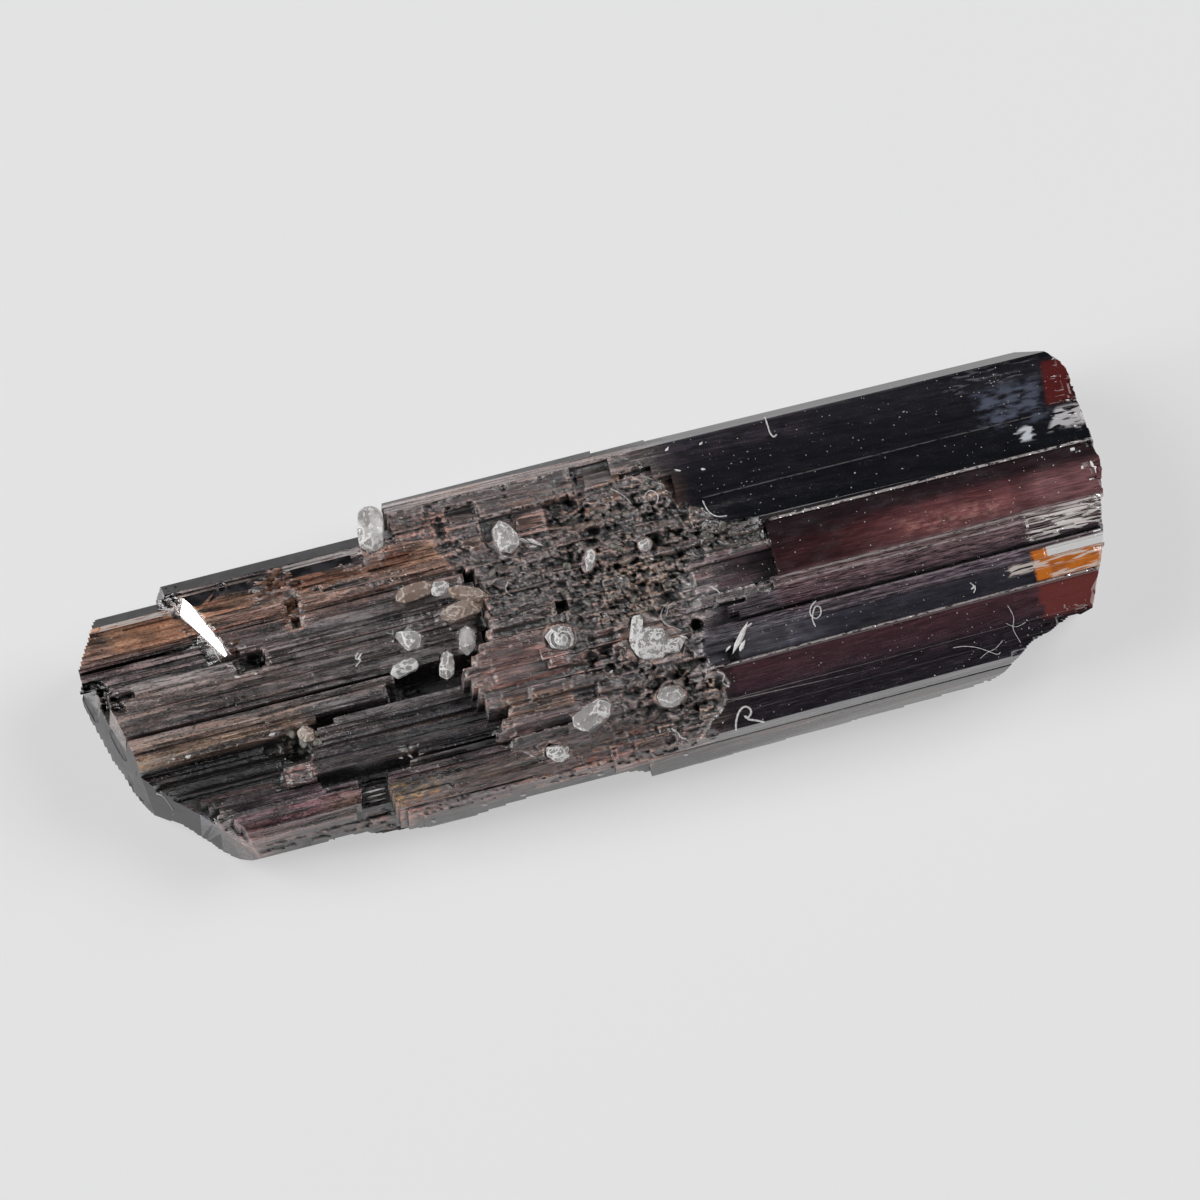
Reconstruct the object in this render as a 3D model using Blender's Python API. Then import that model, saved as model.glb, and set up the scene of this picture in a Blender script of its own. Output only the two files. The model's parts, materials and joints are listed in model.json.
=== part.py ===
"""A loose rutile crystal lying on one of its long prism faces, with small quartz crystals seated in it.

Lengths in the tables are in millimetres, or in steps of GRID where a table says so. The finished
meshes are written in metres. +X runs along the crystal towards its fuller end, +Y across it towards
the back, +Z up, with the origin at the middle of the footprint, on the surface that it rests on.

The crystal is a parallel growth: one striated prism whose surface is a bundle of laths of unequal
height and length, all parallel to +X. The left end steps down lath by lath to an oblique
termination, the middle is etched and broken, and the right end is a smooth prism, broken across.
"""

import math
import random

import bmesh
import bpy
from mathutils import Vector

# ---------------------------------------------------------------- driving dimensions
LENGTH = 20.0          # along +X, mm
GRID = LENGTH / 1053   # one step of the layout tables, mm
MID_ALONG = 515.5      # the layout's middle along the crystal, in steps
TILT = math.radians(70)    # the layout is laid out square to a line this far above the horizon
TURN = math.radians(15.07)  # and turned this far round +Z from the crystal's own side view
BACK = 1.66            # puts the layout's zero across the crystal at this Y, mm
FLARE = 0.05           # a lath widens by this much towards its root, mm
ROOT = 1.4             # laths of the stepped half are rooted at this height, mm
TAPER_FROM = 2.2       # past this X, mm, the crystal narrows
TAPER = 0.0042         # by this share a mm
SEAT_GAP = 0.02        # clearance between a quartz crystal and its socket, mm
MM = 0.001

# ---------------------------------------------------------------- scene set-up
for old in list(bpy.data.objects):
    bpy.data.objects.remove(old)

part = bpy.data.collections.new("rutile_specimen")
cutters = bpy.data.collections.new("cutters")
bpy.context.scene.collection.children.link(part)
bpy.context.scene.collection.children.link(cutters)
cutters.hide_render = True


def material(name, colour, roughness, metallic=0.0, alpha=1.0, transmission=0.0, ior=1.5):
    m = bpy.data.materials.new(name)
    m.use_nodes = True
    p = m.node_tree.nodes["Principled BSDF"]
    p.inputs["Base Color"].default_value = (*colour, 1.0)
    p.inputs["Roughness"].default_value = roughness
    p.inputs["Metallic"].default_value = metallic
    p.inputs["Alpha"].default_value = alpha
    p.inputs["Transmission Weight"].default_value = transmission
    p.inputs["IOR"].default_value = ior
    return m


RUTILE = material("rutile", (0.045, 0.022, 0.022), 0.22, ior=2.6)
QUARTZ = material("quartz", (0.85, 0.83, 0.81), 0.12, alpha=0.5, transmission=0.9, ior=1.54)
SMOKY = material("smoky_quartz", (0.36, 0.27, 0.21), 0.18, alpha=0.7, transmission=0.7, ior=1.54)


# ---------------------------------------------------------------- layout
COS_A, SIN_A = math.cos(TURN), math.sin(TURN)
COS_E, SIN_E = math.cos(TILT), math.sin(TILT)
# The layout's along and across directions are the crystal's axis and its square, as seen along
# that line: these are the shares of X, Y and Z in each.
_n = math.hypot(COS_A, SIN_A * SIN_E)
_ax, _ay = COS_A / _n, SIN_A * SIN_E / _n
ALONG = (COS_A * _ax + SIN_A * SIN_E * _ay, -SIN_A * _ax + COS_A * SIN_E * _ay, COS_E * _ay)
ACROSS = (COS_A * _ay - SIN_A * SIN_E * _ax, -SIN_A * _ay - COS_A * SIN_E * _ax, -COS_E * _ax)


def at(along, across, z):
    """The X and Y, in mm, of a surface point at height z mm, from its layout place in steps."""
    u = (along - MID_ALONG) * GRID
    v = across * GRID
    y = (v - ACROSS[2] * z) / ACROSS[1]
    x = (u - ALONG[1] * y - ALONG[2] * z) / ALONG[0]
    return x, y + BACK


def mesh_object(name, bm, collection, mat=None):
    bmesh.ops.recalc_face_normals(bm, faces=bm.faces)
    me = bpy.data.meshes.new(name)
    bm.to_mesh(me)
    bm.free()
    ob = bpy.data.objects.new(name, me)
    if mat:
        me.materials.append(mat)
    collection.objects.link(ob)
    return ob


def lath(start, end, back, front, z_back, z_front, root=ROOT, skew=(0, 0), lean=(0, 0), flare=FLARE):
    """One lath: a box whose corners are moved to its place.

    start, end, back and front are in steps. skew is how far the two end faces run on from the back
    edge to the front edge, in steps, and lean how far they spread from top to root, in mm.
    """
    bm = bmesh.new()
    bmesh.ops.create_cube(bm, size=2.0)
    for v in bm.verts:
        right, rear, top = v.co.x > 0, v.co.y > 0, v.co.z > 0
        along = (end if right else start) + (0 if rear else skew[1 if right else 0])
        z = z_back if rear else z_front
        x, y = at(along, back if rear else front, z)
        if not top:
            x += lean[1] if right else -lean[0]
            y += flare if rear else -flare
            z = root
        v.co = (x, y, z)
    return mesh_object("lath", bm, cutters)


def prism(name, outline, x0, x1, collection=None):
    """A straight prism along X: a flat outline in Y and Z, as a filled curve, extruded."""
    cu = bpy.data.curves.new(name, "CURVE")
    cu.dimensions = "2D"
    cu.fill_mode = "BOTH"
    cu.extrude = (x1 - x0) / 2
    sp = cu.splines.new("POLY")
    sp.points.add(len(outline) - 1)
    for p, (y, z) in zip(sp.points, outline):
        p.co = (y, z, 0, 1)
    sp.use_cyclic_u = True
    ob = bpy.data.objects.new(name, cu)
    cutters.objects.link(ob)
    bpy.context.view_layer.update()
    me = bpy.data.meshes.new_from_object(ob.evaluated_get(bpy.context.evaluated_depsgraph_get()))
    bpy.data.objects.remove(ob)
    bm = bmesh.new()
    bm.from_mesh(me)
    bmesh.ops.remove_doubles(bm, verts=bm.verts, dist=1e-5)
    for f in bm.faces:
        f.smooth = False
    for v in bm.verts:  # the curve lies in X and Y and is extruded along Z: turn it to run along X
        v.co = Vector((v.co.z + (x0 + x1) / 2, v.co.x, v.co.y))
    return mesh_object(name, bm, collection or cutters)


def boolean(target, others, operation):
    """Joins others to target, or cuts them from it, and leaves the plain result on target."""
    group = bpy.data.collections.new("operands")
    for o in others:
        group.objects.link(o)
    mod = target.modifiers.new("bool", "BOOLEAN")
    mod.operation = operation
    mod.operand_type = "COLLECTION"
    mod.collection = group
    mod.solver = "EXACT"
    mod.use_self = False
    bpy.context.view_layer.update()
    me = bpy.data.meshes.new_from_object(target.evaluated_get(bpy.context.evaluated_depsgraph_get()))
    target.modifiers.remove(mod)
    target.data = me
    for o in list(others):
        bpy.data.objects.remove(o)
    bpy.data.collections.remove(group)
    return target


def half_space(point, normal, size=30.0):
    """A cube whose one face lies on a plane, filling the side that normal points to."""
    n = Vector(normal).normalized()
    bm = bmesh.new()
    bmesh.ops.create_cube(bm, size=size)
    bmesh.ops.transform(bm, matrix=n.to_track_quat("Z", "Y").to_matrix(), verts=bm.verts)
    bmesh.ops.translate(bm, vec=Vector(point) + n * size / 2, verts=bm.verts)
    return mesh_object("half_space", bm, cutters)


# ---------------------------------------------------------------- the body under the laths
# Outlines in Y and Z. The flat underside is the long prism face that the crystal rests on.
BODY = [(-2.32, 0.0), (2.02, 0.0), (2.27, 0.55), (2.27, 1.66), (-2.58, 1.60), (-2.80, 1.22), (-2.80, 0.78)]
FULL = [(-2.32, 0.0), (2.42, 0.0), (3.04, 0.95), (3.00, 1.72), (2.68, 2.00), (0.43, 3.12), (-2.02, 2.78),
        (-2.94, 1.90), (-3.02, 0.95)]
MIDDLE = [(-2.28, 0.0), (2.40, 0.0), (3.02, 0.93), (3.02, 1.70), (2.64, 1.92), (0.45, 2.92), (-1.95, 2.56),
          (-2.80, 1.80), (-2.88, 0.93)]

x_full = at(520, 60, 3.0)[0]
x_mid = at(404, 60, 2.6)[0]
body = prism("body", BODY, -10.90, 10.00)
full = prism("full", FULL, x_full, 10.15)
middle = prism("middle", MIDDLE, x_mid, x_full + 0.6)


# ---------------------------------------------------------------- profile of the smooth half
PROFILE = [  # across in steps, height in mm, of the smooth half's surface, from back to front
    (-103, 1.95), (-98, 2.28), (1.5, 3.40), (60, 3.30), (92, 3.18), (132, 3.05), (197, 2.11), (219.8, 0.95),
]


def smooth_height(across):
    for (a0, z0), (a1, z1) in zip(PROFILE, PROFILE[1:]):
        if a0 <= across <= a1:
            return z0 + (z1 - z0) * (across - a0) / (a1 - a0)
    return PROFILE[0][1] if across < PROFILE[0][0] else PROFILE[-1][1]


# start, end, back, front, height at back, height at front; all to the right of the etched middle
SMOOTH = [
    (505, 1060, -105.0, -98.0, 1.90, 2.27),
    (560, 1060, -98.2, -80.0, 2.27, 2.475),
    (600, 1060, -80.0, -66.0, 2.49, 2.64),
    (618, 1060, -66.0, -35.0, 2.635, 2.99),
    (628, 1060, -35.0, -10.0, 2.975, 3.265),
    (640, 1060, -10.0, 0.0, 3.285, 3.385),
    (690, 1060, 0.0, 3.6, 3.42, 3.41),
    (697, 1060, 3.6, 30.0, 3.385, 3.35),
    (697, 1060, 30.0, 58.0, 3.345, 3.305),
    (688, 1060, 58.0, 62.5, 3.335, 3.325),
    (690, 1060, 62.5, 68.5, 3.285, 3.275),
    (660, 1060, 68.5, 75.5, 3.300, 3.270),
    (640, 1060, 75.5, 82.0, 3.245, 3.260),
    (650, 1060, 82.0, 89.5, 3.245, 3.205),
    (600, 1060, 93.0, 100.0, 3.215, 3.185),
    (610, 1060, 100.0, 107.5, 3.165, 3.155),
    (640, 1060, 107.5, 130.5, 3.125, 3.055),
    (622, 1060, 130.5, 133.5, 3.090, 3.060),
    (605, 1060, 133.5, 152.0, 3.025, 2.760),
    (600, 1060, 152.0, 166.0, 2.770, 2.560),
    (590, 1060, 166.0, 181.0, 2.545, 2.345),
    (560, 1060, 181.0, 197.0, 2.335, 2.125),
    (532, 1060, 196.5, 204.0, 2.110, 1.735),
]
laths = []
for s in SMOOTH:
    laths.append(lath(*s, root=max(min(s[4], s[5]) - 0.38, 0.88), flare=FLARE if s[2] < 180 else 0.01))

# The lowest lath of the front face narrows towards the fuller end and is rooted inside the body.
LOW_LATH = {False: 221.2, True: 214.2}  # its front edge, in steps, at the left and at the right
bm = bmesh.new()
bmesh.ops.create_cube(bm, size=2.0)
for v in bm.verts:
    right, rear, top = v.co.x > 0, v.co.y > 0, v.co.z > 0
    x, y = at(1060 if right else 526, 205.5 if rear else LOW_LATH[right], 1.69 if rear else 0.98)
    z = 1.69 if rear else 0.98
    if not top:
        y, z = (-2.50, 1.45) if rear else (y + 0.02, 0.86)
    v.co = (x, y, z)
bmesh.ops.triangulate(bm, faces=bm.faces)
laths.append(mesh_object("lath", bm, cutters))

# ---------------------------------------------------------------- the stepped half
# The lowest step, at the left tip, from back to front; the last two numbers skew the left end.
FIRST = [
    (-30, 150, -66.0, -57.5, 2.12, 2.38),
    (-30, 150, -58.0, -53.0, 2.50, 2.49),
    (-30, 160, -53.0, -26.0, 2.45, 2.60),
    (-30, 160, -26.0, -21.5, 2.53, 2.53),
    (-30, 160, -21.5, -18.0, 2.47, 2.45),
    (-30, 160, -14.5, -8.0, 2.52, 2.56),
    (-30, 160, -8.0, 1.0, 2.47, 2.50),
    (-30, 175, 1.0, 8.5, 2.44, 2.42),
    (-30, 175, 8.5, 15.0, 2.57, 2.56),
    (-30, 402, 15.0, 36.0, 2.62, 2.59),
    (-30, 396, 36.0, 57.0, 2.585, 2.54),
    (-30, 300, 59.5, 69.0, 2.55, 2.535),
    (-30, 292, 69.0, 79.0, 2.545, 2.51),
    (-30, 215, 79.0, 84.0, 2.46, 2.44),
    (-30, 190, 84.0, 89.5, 2.34, 2.26),
    (-30, 178, 89.5, 94.0, 2.12, 2.05),
    (-30, 176, 98.0, 104.0, 1.88, 1.86),
    (-30, 182, 104.0, 109.0, 1.80, 1.78),
    (-30, 186, 117.0, 123.0, 1.76, 1.75),
    (84, 158, 133.0, 138.0, 1.90, 1.92),
    (90, 176, 138.0, 146.0, 1.93, 1.89),
    (100, 204, 146.0, 153.0, 1.97, 2.00),
    (96, 240, 153.0, 160.5, 1.93, 1.91),
]
for s in FIRST:
    laths.append(lath(*s))
# Ridges of the front edge, whose ends are short facets of their own
for s, skew, lean in (
    ((112, 243, 160.5, 168.0, 2.08, 2.06), (5, -4), (0.06, 0.02)),
    ((118, 241, 168.0, 177.5, 2.03, 1.95), (4, -3), (0.05, 0.02)),
    ((121, 233, 179.0, 186.0, 1.86, 1.74), (2, -2), (0.05, 0.02)),
    ((104, 226, 186.0, 194.5, 1.66, 1.42), (6, -6), (0.10, 0.05)),
    ((106, 262, 194.0, 205.5, 1.40, 0.98), (6, 0), (0.08, 0.10)),
    ((243, 286, 164.0, 170.5, 1.72, 1.70), (0, 0), (0, 0)),
    ((240, 290, 170.5, 181.0, 1.70, 1.62), (0, 0), (0, 0)),
    ((236, 300, 181.0, 196.0, 1.58, 1.34), (4, 4), (0.05, 0.1)),
):
    laths.append(lath(*s, root=0.9, skew=skew, lean=lean))

# The second step: a group of laths that all end at one oblique termination facet.
SECOND = [  # end, back, front, heights
    (420, -82.0, -73.0, 2.26, 2.52),
    (420, -73.0, -66.5, 2.60, 2.62),
    (420, -66.5, -53.0, 2.67, 2.75),
    (420, -53.0, -41.0, 2.74, 2.80),
    (400, -41.0, -35.0, 2.77, 2.76),
    (400, -35.0, -27.0, 2.81, 2.82),
    (392, -27.0, -20.0, 2.76, 2.75),
    (392, -20.0, -12.5, 2.80, 2.81),
    (400, -12.5, 0.5, 2.77, 2.74),
]
second = [lath(90, end, back, front, z0, z1) for end, back, front, z0, z1 in SECOND[1:]]
terrace = boolean(second[0], second[1:], "UNION")
facet = [Vector((*at(a, b, z), z)) for a, b, z in ((116, -66, 2.69), (144.5, -4, 2.76), (106, -50, 2.47))]
side = (facet[1] - facet[0]).cross(facet[2] - facet[0])
boolean(terrace, [half_space(facet[0], side if side.x < 0 else -side)], "DIFFERENCE")
laths.append(terrace)
end, back, front, z0, z1 = SECOND[0]
laths.append(lath(96, end, back, front, z0, z1, skew=(2, 0), lean=(0.10, 0)))
laths.append(lath(178, 400, 0.5, 7.0, 2.68, 2.66))
laths.append(lath(182, 398, 7.0, 13.5, 2.71, 2.67))

# The lower ground between the front channel and the etched middle
for s in (
    (232, 420, 87.0, 92.5, 2.38, 2.36), (214, 420, 92.5, 99.0, 2.43, 2.40), (206, 420, 99.0, 104.0, 2.31, 2.33),
    (210, 420, 104.0, 111.0, 2.37, 2.34), (205, 420, 111.0, 116.0, 2.22, 2.24), (202, 420, 116.0, 124.0, 2.30, 2.27),
    (198, 420, 124.0, 130.5, 2.24, 2.26), (200, 420, 130.5, 137.0, 2.30, 2.24), (204, 292, 137.0, 141.0, 2.08, 2.06),
    (172, 202, 123.0, 142.0, 2.22, 2.10),
    (306, 420, 137.0, 143.0, 2.16, 2.18), (296, 420, 146.0, 152.0, 2.20, 2.22),
):
    laths.append(lath(*s))

# ---------------------------------------------------------------- the front of the middle
for s in (
    (272, 536, 153.0, 160.0, 2.52, 2.46), (270, 536, 160.0, 168.5, 2.48, 2.36), (271, 560, 168.5, 176.0, 2.37, 2.26),
    (272, 560, 176.0, 184.0, 2.22, 2.12), (275, 570, 184.0, 190.5, 2.10, 2.00), (282, 565, 190.5, 197.0, 1.96, 1.88),
    (296, 529, 196.5, 203.0, 1.87, 1.60), (300, 372, 203.0, 212.0, 1.57, 1.10), (366, 526, 203.0, 207.5, 1.50, 1.10),
    (378, 524, 200.0, 206.8, 1.72, 1.20),
):
    laths.append(lath(*s, root=0.90, flare=0.02))

# ---------------------------------------------------------------- the back of the middle
for s in (
    (330, 545, -109.0, -103.5, 1.82, 2.10), (331, 618, -104.0, -98.0, 2.06, 2.30), (540, 600, -106.5, -102.5, 1.86, 2.04), (333, 520, -98.0, -88.0, 2.36, 2.44),
    (334, 388, -88.0, -76.0, 2.44, 2.54), (420, 520, -88.5, -70.0, 2.46, 2.66), (336, 384, -76.0, -66.0, 2.60, 2.70),
):
    laths.append(lath(*s, root=1.2, skew=(-1, 0)))

# ---------------------------------------------------------------- the etched middle
# Laths of the smooth half's own height, eaten back and broken off at random, between the two
# ragged limits of the etched ground.
LEFT_LIMIT = [(-100, 334), (-66, 340), (-62, 385), (-40, 388), (-14, 402), (10, 410), (40, 405), (58, 384),
              (75, 368), (92, 376), (108, 384), (118, 400), (128, 400), (136, 388), (150, 380), (162, 420), (200, 520)]
RIGHT_LIMIT = [(-100, 620), (-70, 612), (-40, 622), (-8, 650), (-4, 690), (70, 697), (74, 665), (100, 640), (128, 625),
               (150, 615), (200, 600)]


def limit(table, across):
    for (a0, b0), (a1, b1) in zip(table, table[1:]):
        if a0 <= across <= a1:
            return b0 + (b1 - b0) * (across - a0) / (a1 - a0)
    return table[0][1] if across < table[0][0] else table[-1][1]


rnd = random.Random(7)
across = -97.0
while across < 192:
    wide = rnd.uniform(9.0, 15.0)
    left, right = limit(LEFT_LIMIT, across + wide / 2), limit(RIGHT_LIMIT, across + wide / 2)
    along = left + rnd.uniform(-4, 6)
    while along < right - 15:
        long = rnd.uniform(45, 115)
        end = min(along + long, right + rnd.uniform(0, 8))
        if right - end < 25:
            end = right + rnd.uniform(0, 8)
        drop = 0.07 + 0.17 * rnd.random()
        z0 = smooth_height(across) - drop
        z1 = smooth_height(across + wide) - drop + rnd.uniform(-0.03, 0.03)
        laths.append(lath(along, end, across, across + wide - 0.4, z0, z1, root=min(z0, z1) - 0.62,
                          skew=(rnd.uniform(-3, 3), rnd.uniform(-3, 3)), lean=(rnd.uniform(0, 0.08), 0.0)))
        along = end - 2
    across += wide

# ---------------------------------------------------------------- the back and the underside
# Coarse laths on the hidden faces: the same parallel growth, with its own steps.
for x0, x1, outline in (
    (-4.0, 9.5, [(2.35, 1.05), (3.16, 1.05), (3.18, 1.38), (2.6, 1.45)]),
    (-3.5, 8.2, [(2.35, 0.62), (2.93, 0.62), (3.17, 0.92), (2.5, 1.0)]),
    (-8.9, 3.1, [(1.8, 0.58), (2.42, 0.62), (2.44, 1.02), (1.9, 1.1)]),
    (-7.6, 1.2, [(1.8, 1.12), (2.46, 1.15), (2.42, 1.55), (1.9, 1.6)]),
    (-3.4, 6.4, [(2.3, 1.50), (3.12, 1.50), (3.13, 1.72), (2.6, 1.8)]),
    (-7.2, -4.6, [(-2.4, 0.55), (-2.60, 0.42), (-2.77, 0.70), (-2.5, 0.86)]),
    (-5.8, 9.0, [(-2.2, 0.35), (-2.62, 0.30), (-2.80, 0.52), (-2.5, 0.8)]),
    (1.0, 8.9, [(-2.5, 0.62), (-2.88, 0.60), (-3.05, 0.84), (-2.7, 0.95)]),
):
    laths.append(prism("side_lath", outline, x0, x1))

crystal = boolean(body, [full, middle] + laths, "UNION")
crystal.name = "rutile_crystal"

# ---------------------------------------------------------------- grooves, pits and the rest of the underside
pits = []
for start, end, back, front, surface, floor in (
    (155, 180, 4.0, 19.0, 2.62, 2.26), (148, 158, 8.0, 16.0, 2.60, 2.40), (-14, 20, 3.0, 24.0, 2.50, 1.55),
    (20, 46, 12.0, 19.0, 2.58, 2.34), (474, 487, 27.0, 41.0, 3.15, 2.66), (214, 222, -36.0, -26.0, 2.86, 2.62),
    (215, 224, -22.0, -10.0, 2.86, 2.60), (290, 318, 68.0, 84.0, 2.50, 2.20), (318, 340, 70.0, 86.0, 2.45, 2.10),
    (172, 201, 104.0, 121.0, 2.20, 1.66), (241, 270, 152.0, 164.0, 1.90, 1.55),
    (600, 612, 80.0, 92.0, 3.20, 2.85), (150, 176, 16.0, 23.0, 2.62, 2.48),
):
    bm = bmesh.new()
    bmesh.ops.create_cube(bm, size=2.0)
    for v in bm.verts:
        x, y = at(end if v.co.x > 0 else start, back if v.co.y > 0 else front, surface)
        v.co = (x, y, surface + 0.8 if v.co.z > 0 else floor)
    pits.append(mesh_object("pit", bm, cutters))
for x0, x1, y, z, r in (  # grooves along the underside, as narrow triangles
    (-9.0, 10.6, -1.45, 0.0, 0.10), (-6.0, 10.6, -0.62, 0.0, 0.07), (-10.8, 4.0, 0.35, 0.0, 0.09),
    (-10.8, 10.6, 1.12, 0.0, 0.12), (-2.0, 10.6, 1.75, 0.0, 0.08), (-10.8, -1.0, -1.95, 0.0, 0.07),
):
    pits.append(prism("groove", [(y - r, z - 0.1), (y + r, z - 0.1), (y + r * 0.2, z + r * 0.9)], x0, x1))
crystal = boolean(crystal, pits, "DIFFERENCE")
crystal.name = "rutile_crystal"

# ---------------------------------------------------------------- terminations
def plane(away, corners):
    """A point and a normal, for the plane through three corners in steps and mm."""
    p, q, r = (Vector((*at(a, b, z), z)) for a, b, z in corners)
    side = (q - p).cross(r - p)
    return p, side if side.x * away > 0 else -side


ends = []
for away, corners in (  # each a plane through three corners, in steps and mm, cut on the side that away points to
    # The left end: steep faces, of which the front ones meet under the stepped laths.
    (-1, ((15.5, 108, 0.0), (34, 140, 0.0), (43, 107, 2.4))),
    (-1, ((34, 140, 0.0), (102, 203, 0.0), (112, 164, 2.3))),
    (-1, ((22.5, -67, 2.1), (-4.5, -21, 2.35), (18.5, -50, 1.1))),
    # The right end: broken across, undercut, with worn corners.
    (1, ((984, -105, 2.0), (1012, -99, 2.3), (994, -97, 0.8))),
    (1, ((1010, -100, 2.3), (1031, -81, 2.5), (1013, -86, 0.8))),
    (1, ((1030, -83, 2.5), (1036, -40, 2.9), (1026, -58, 0.8))),
    (1, ((1035.5, -42, 2.9), (1041.5, 12, 3.35), (1032, -14, 0.8))),
    (1, ((1041.5, 8, 3.35), (1040.5, 75, 3.3), (1033, 42, 0.8))),
    (1, ((1041, 68, 3.3), (1024, 108, 3.15), (1024, 86, 0.8))),
    (1, ((1026, 104, 3.15), (1015.5, 149, 2.85), (1011, 124, 0.8))),
    (1, ((1016, 146, 2.85), (1002, 169.5, 2.58), (1000, 154, 0.8))),
):
    ends.append(half_space(*plane(away, corners)))
# Faces that only part of an end has: cut between two places across the crystal.
for away, corners, back, front in (
    (-1, ((-4.5, -21, 2.35), (-2.0, -7, 2.4), (-2.0, -7, 0.0)), -60, -8.0),
    (-1, ((-2.5, -8, 2.4), (-11.2, 9, 2.4), (-11.2, 9, 0.0)), -8.2, 60),
    (-1, ((-11.2, 9, 0.0), (-5, 35, 0.0), (22, 38, 2.5)), 3.0, 300),
    (-1, ((-5, 35, 0.0), (5, 75, 0.0), (24, 62, 2.5)), 3.0, 300),
    (-1, ((5, 75, 0.0), (17.5, 111, 0.0), (29, 82, 2.42)), 3.0, 300),
    (1, ((1006, 167.0, 2.58), (928, 187.0, 2.3), (926, 185.5, 0.8)), 100, 186.5),
    (1, ((929, 186.5, 2.3), (891, 212.3, 1.6), (888, 211.0, 0.6)), 186.3, 300),
):
    cutter = half_space(*plane(away, corners))
    for limit_at, to_front in ((back, True), (front, False)):
        edge = [Vector((*at(corners[0][0] + a, limit_at, z), z)) for a, z in ((0, 0.0), (100, 0.0), (0, 2.0))]
        across_way = (edge[1] - edge[0]).cross(edge[2] - edge[0])
        if (across_way.y < 0) != to_front:
            across_way = -across_way
        boolean(cutter, [half_space(edge[0], across_way)], "INTERSECT")
    ends.append(cutter)
crystal = boolean(crystal, ends, "DIFFERENCE")
crystal.name = "rutile_crystal"


# ---------------------------------------------------------------- quartz
def quartz(name, along, across, z, long, wide, tall, turn, pitch=0.0, roll=0.0, grow=0.0, mat=QUARTZ, seed=1):
    """A stubby six-sided quartz crystal with pointed ends, from a six-sided sphere whose rings are moved.

    long, wide and tall are in steps; turn is about +Z from the crystal's axis, in degrees.
    """
    r = random.Random(seed)
    bm = bmesh.new()
    bmesh.ops.create_uvsphere(bm, u_segments=6, v_segments=4, radius=1.0)
    for v in bm.verts:  # the sphere's own poles are on Z
        pole = abs(v.co.z)
        ring = math.hypot(v.co.x, v.co.y)
        if pole > 0.95:
            v.co.z = math.copysign(1.0, v.co.z)
        elif pole > 0.3:
            f = (0.86 + 0.14 * r.random()) / max(ring, 1e-6)
            v.co.x *= f
            v.co.y *= f
            v.co.z = math.copysign(0.52 + 0.14 * r.random(), v.co.z)
        else:
            f = (0.94 + 0.10 * r.random()) / max(ring, 1e-6)
            v.co.x *= f
            v.co.y *= f
    half = (long * GRID / 2 + grow, wide * GRID / 2 + grow, tall * GRID / 2 + grow)
    ct, st = math.cos(math.radians(turn)), math.sin(math.radians(turn))
    cp, sp = math.cos(math.radians(pitch)), math.sin(math.radians(pitch))
    cr, sr = math.cos(math.radians(roll)), math.sin(math.radians(roll))
    x0, y0 = at(along, across, z)
    for v in bm.verts:
        a, b, c = v.co.z * half[0], v.co.x * half[1], v.co.y * half[2]
        b, c = b * cr - c * sr, b * sr + c * cr
        a, c = a * cp - c * sp, a * sp + c * cp
        v.co = (x0 + a * ct - b * st, y0 + a * st + b * ct, z + c)
    # the sphere's quads bend once they are moved: keep the hull of its corners
    corners = [v.co.copy() for v in bm.verts]
    bm.clear()
    bmesh.ops.convex_hull(bm, input=[bm.verts.new(c) for c in corners])
    return mesh_object(name, bm, cutters if grow else part, mat)


# name, along, across, height of the middle, length, width, thickness, turn, pitch, roll, material
QUARTZ_TABLE = [
    ("quartz_plate", 313.5, -85.5, 2.62, 60, 31, 28, 76, 0, 0, QUARTZ),
    ("quartz_oval", 442.5, -45.0, 2.95, 41, 27, 20, 96, 6, 10, QUARTZ),
    ("quartz_bead", 366.5, -12.0, 3.10, 22, 20, 16, 20, 0, 0, QUARTZ),
    ("smoky_point_left", 341.0, -14.5, 2.92, 46, 19, 17, 2, 6, 10, SMOKY),
    ("smoky_point_upper", 392.0, 0.0, 3.10, 48, 17, 16, -24, 0, 20, SMOKY),
    ("smoky_point_lower", 382.0, 14.5, 3.03, 54, 20, 16, 8, -4, 5, SMOKY),
    ("quartz_chip_back", 517.5, -3.0, 3.32, 26, 13, 12, 62, 5, 0, QUARTZ),
    ("quartz_chip_mid", 575.5, -4.0, 3.30, 15, 14, 11, 30, 0, 0, QUARTZ),
    ("quartz_left_upper", 323.0, 28.5, 2.70, 32, 25, 18, -55, 5, 0, QUARTZ),
    ("quartz_left_lower", 313.5, 56.0, 2.66, 34, 17, 15, 12, 0, 0, QUARTZ),
    ("quartz_left_tall", 354.5, 63.5, 2.60, 35, 18, 17, 76, -6, 0, QUARTZ),
    ("quartz_glassy", 380.5, 44.0, 2.78, 34, 19, 18, 75, 8, 0, QUARTZ),
    ("quartz_curl", 471.0, 64.5, 3.18, 34, 28, 16, -20, 0, 8, QUARTZ),
    ("quartz_cluster", 556.0, 93.0, 3.05, 42, 38, 24, -12, 0, 0, QUARTZ),
    ("quartz_long", 482.0, 148.5, 2.84, 50, 25, 20, 24, 4, 0, QUARTZ),
    ("quartz_pale", 563.0, 149.0, 2.80, 32, 27, 17, -10, 0, -30, QUARTZ),
    ("quartz_front", 440.0, 175.0, 2.30, 28, 21, 18, -38, 0, -20, QUARTZ),
    ("quartz_bead_front", 203.0, 98.0, 2.28, 26, 20, 17, -30, 0, 0, SMOKY),
]
sockets = []
for i, q in enumerate(QUARTZ_TABLE):
    name, mat = q[0], q[-1]
    quartz(*q[:-1], mat=mat, seed=i + 1)
    sockets.append(quartz("socket", *q[1:-1], grow=SEAT_GAP, seed=i + 1))

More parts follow.
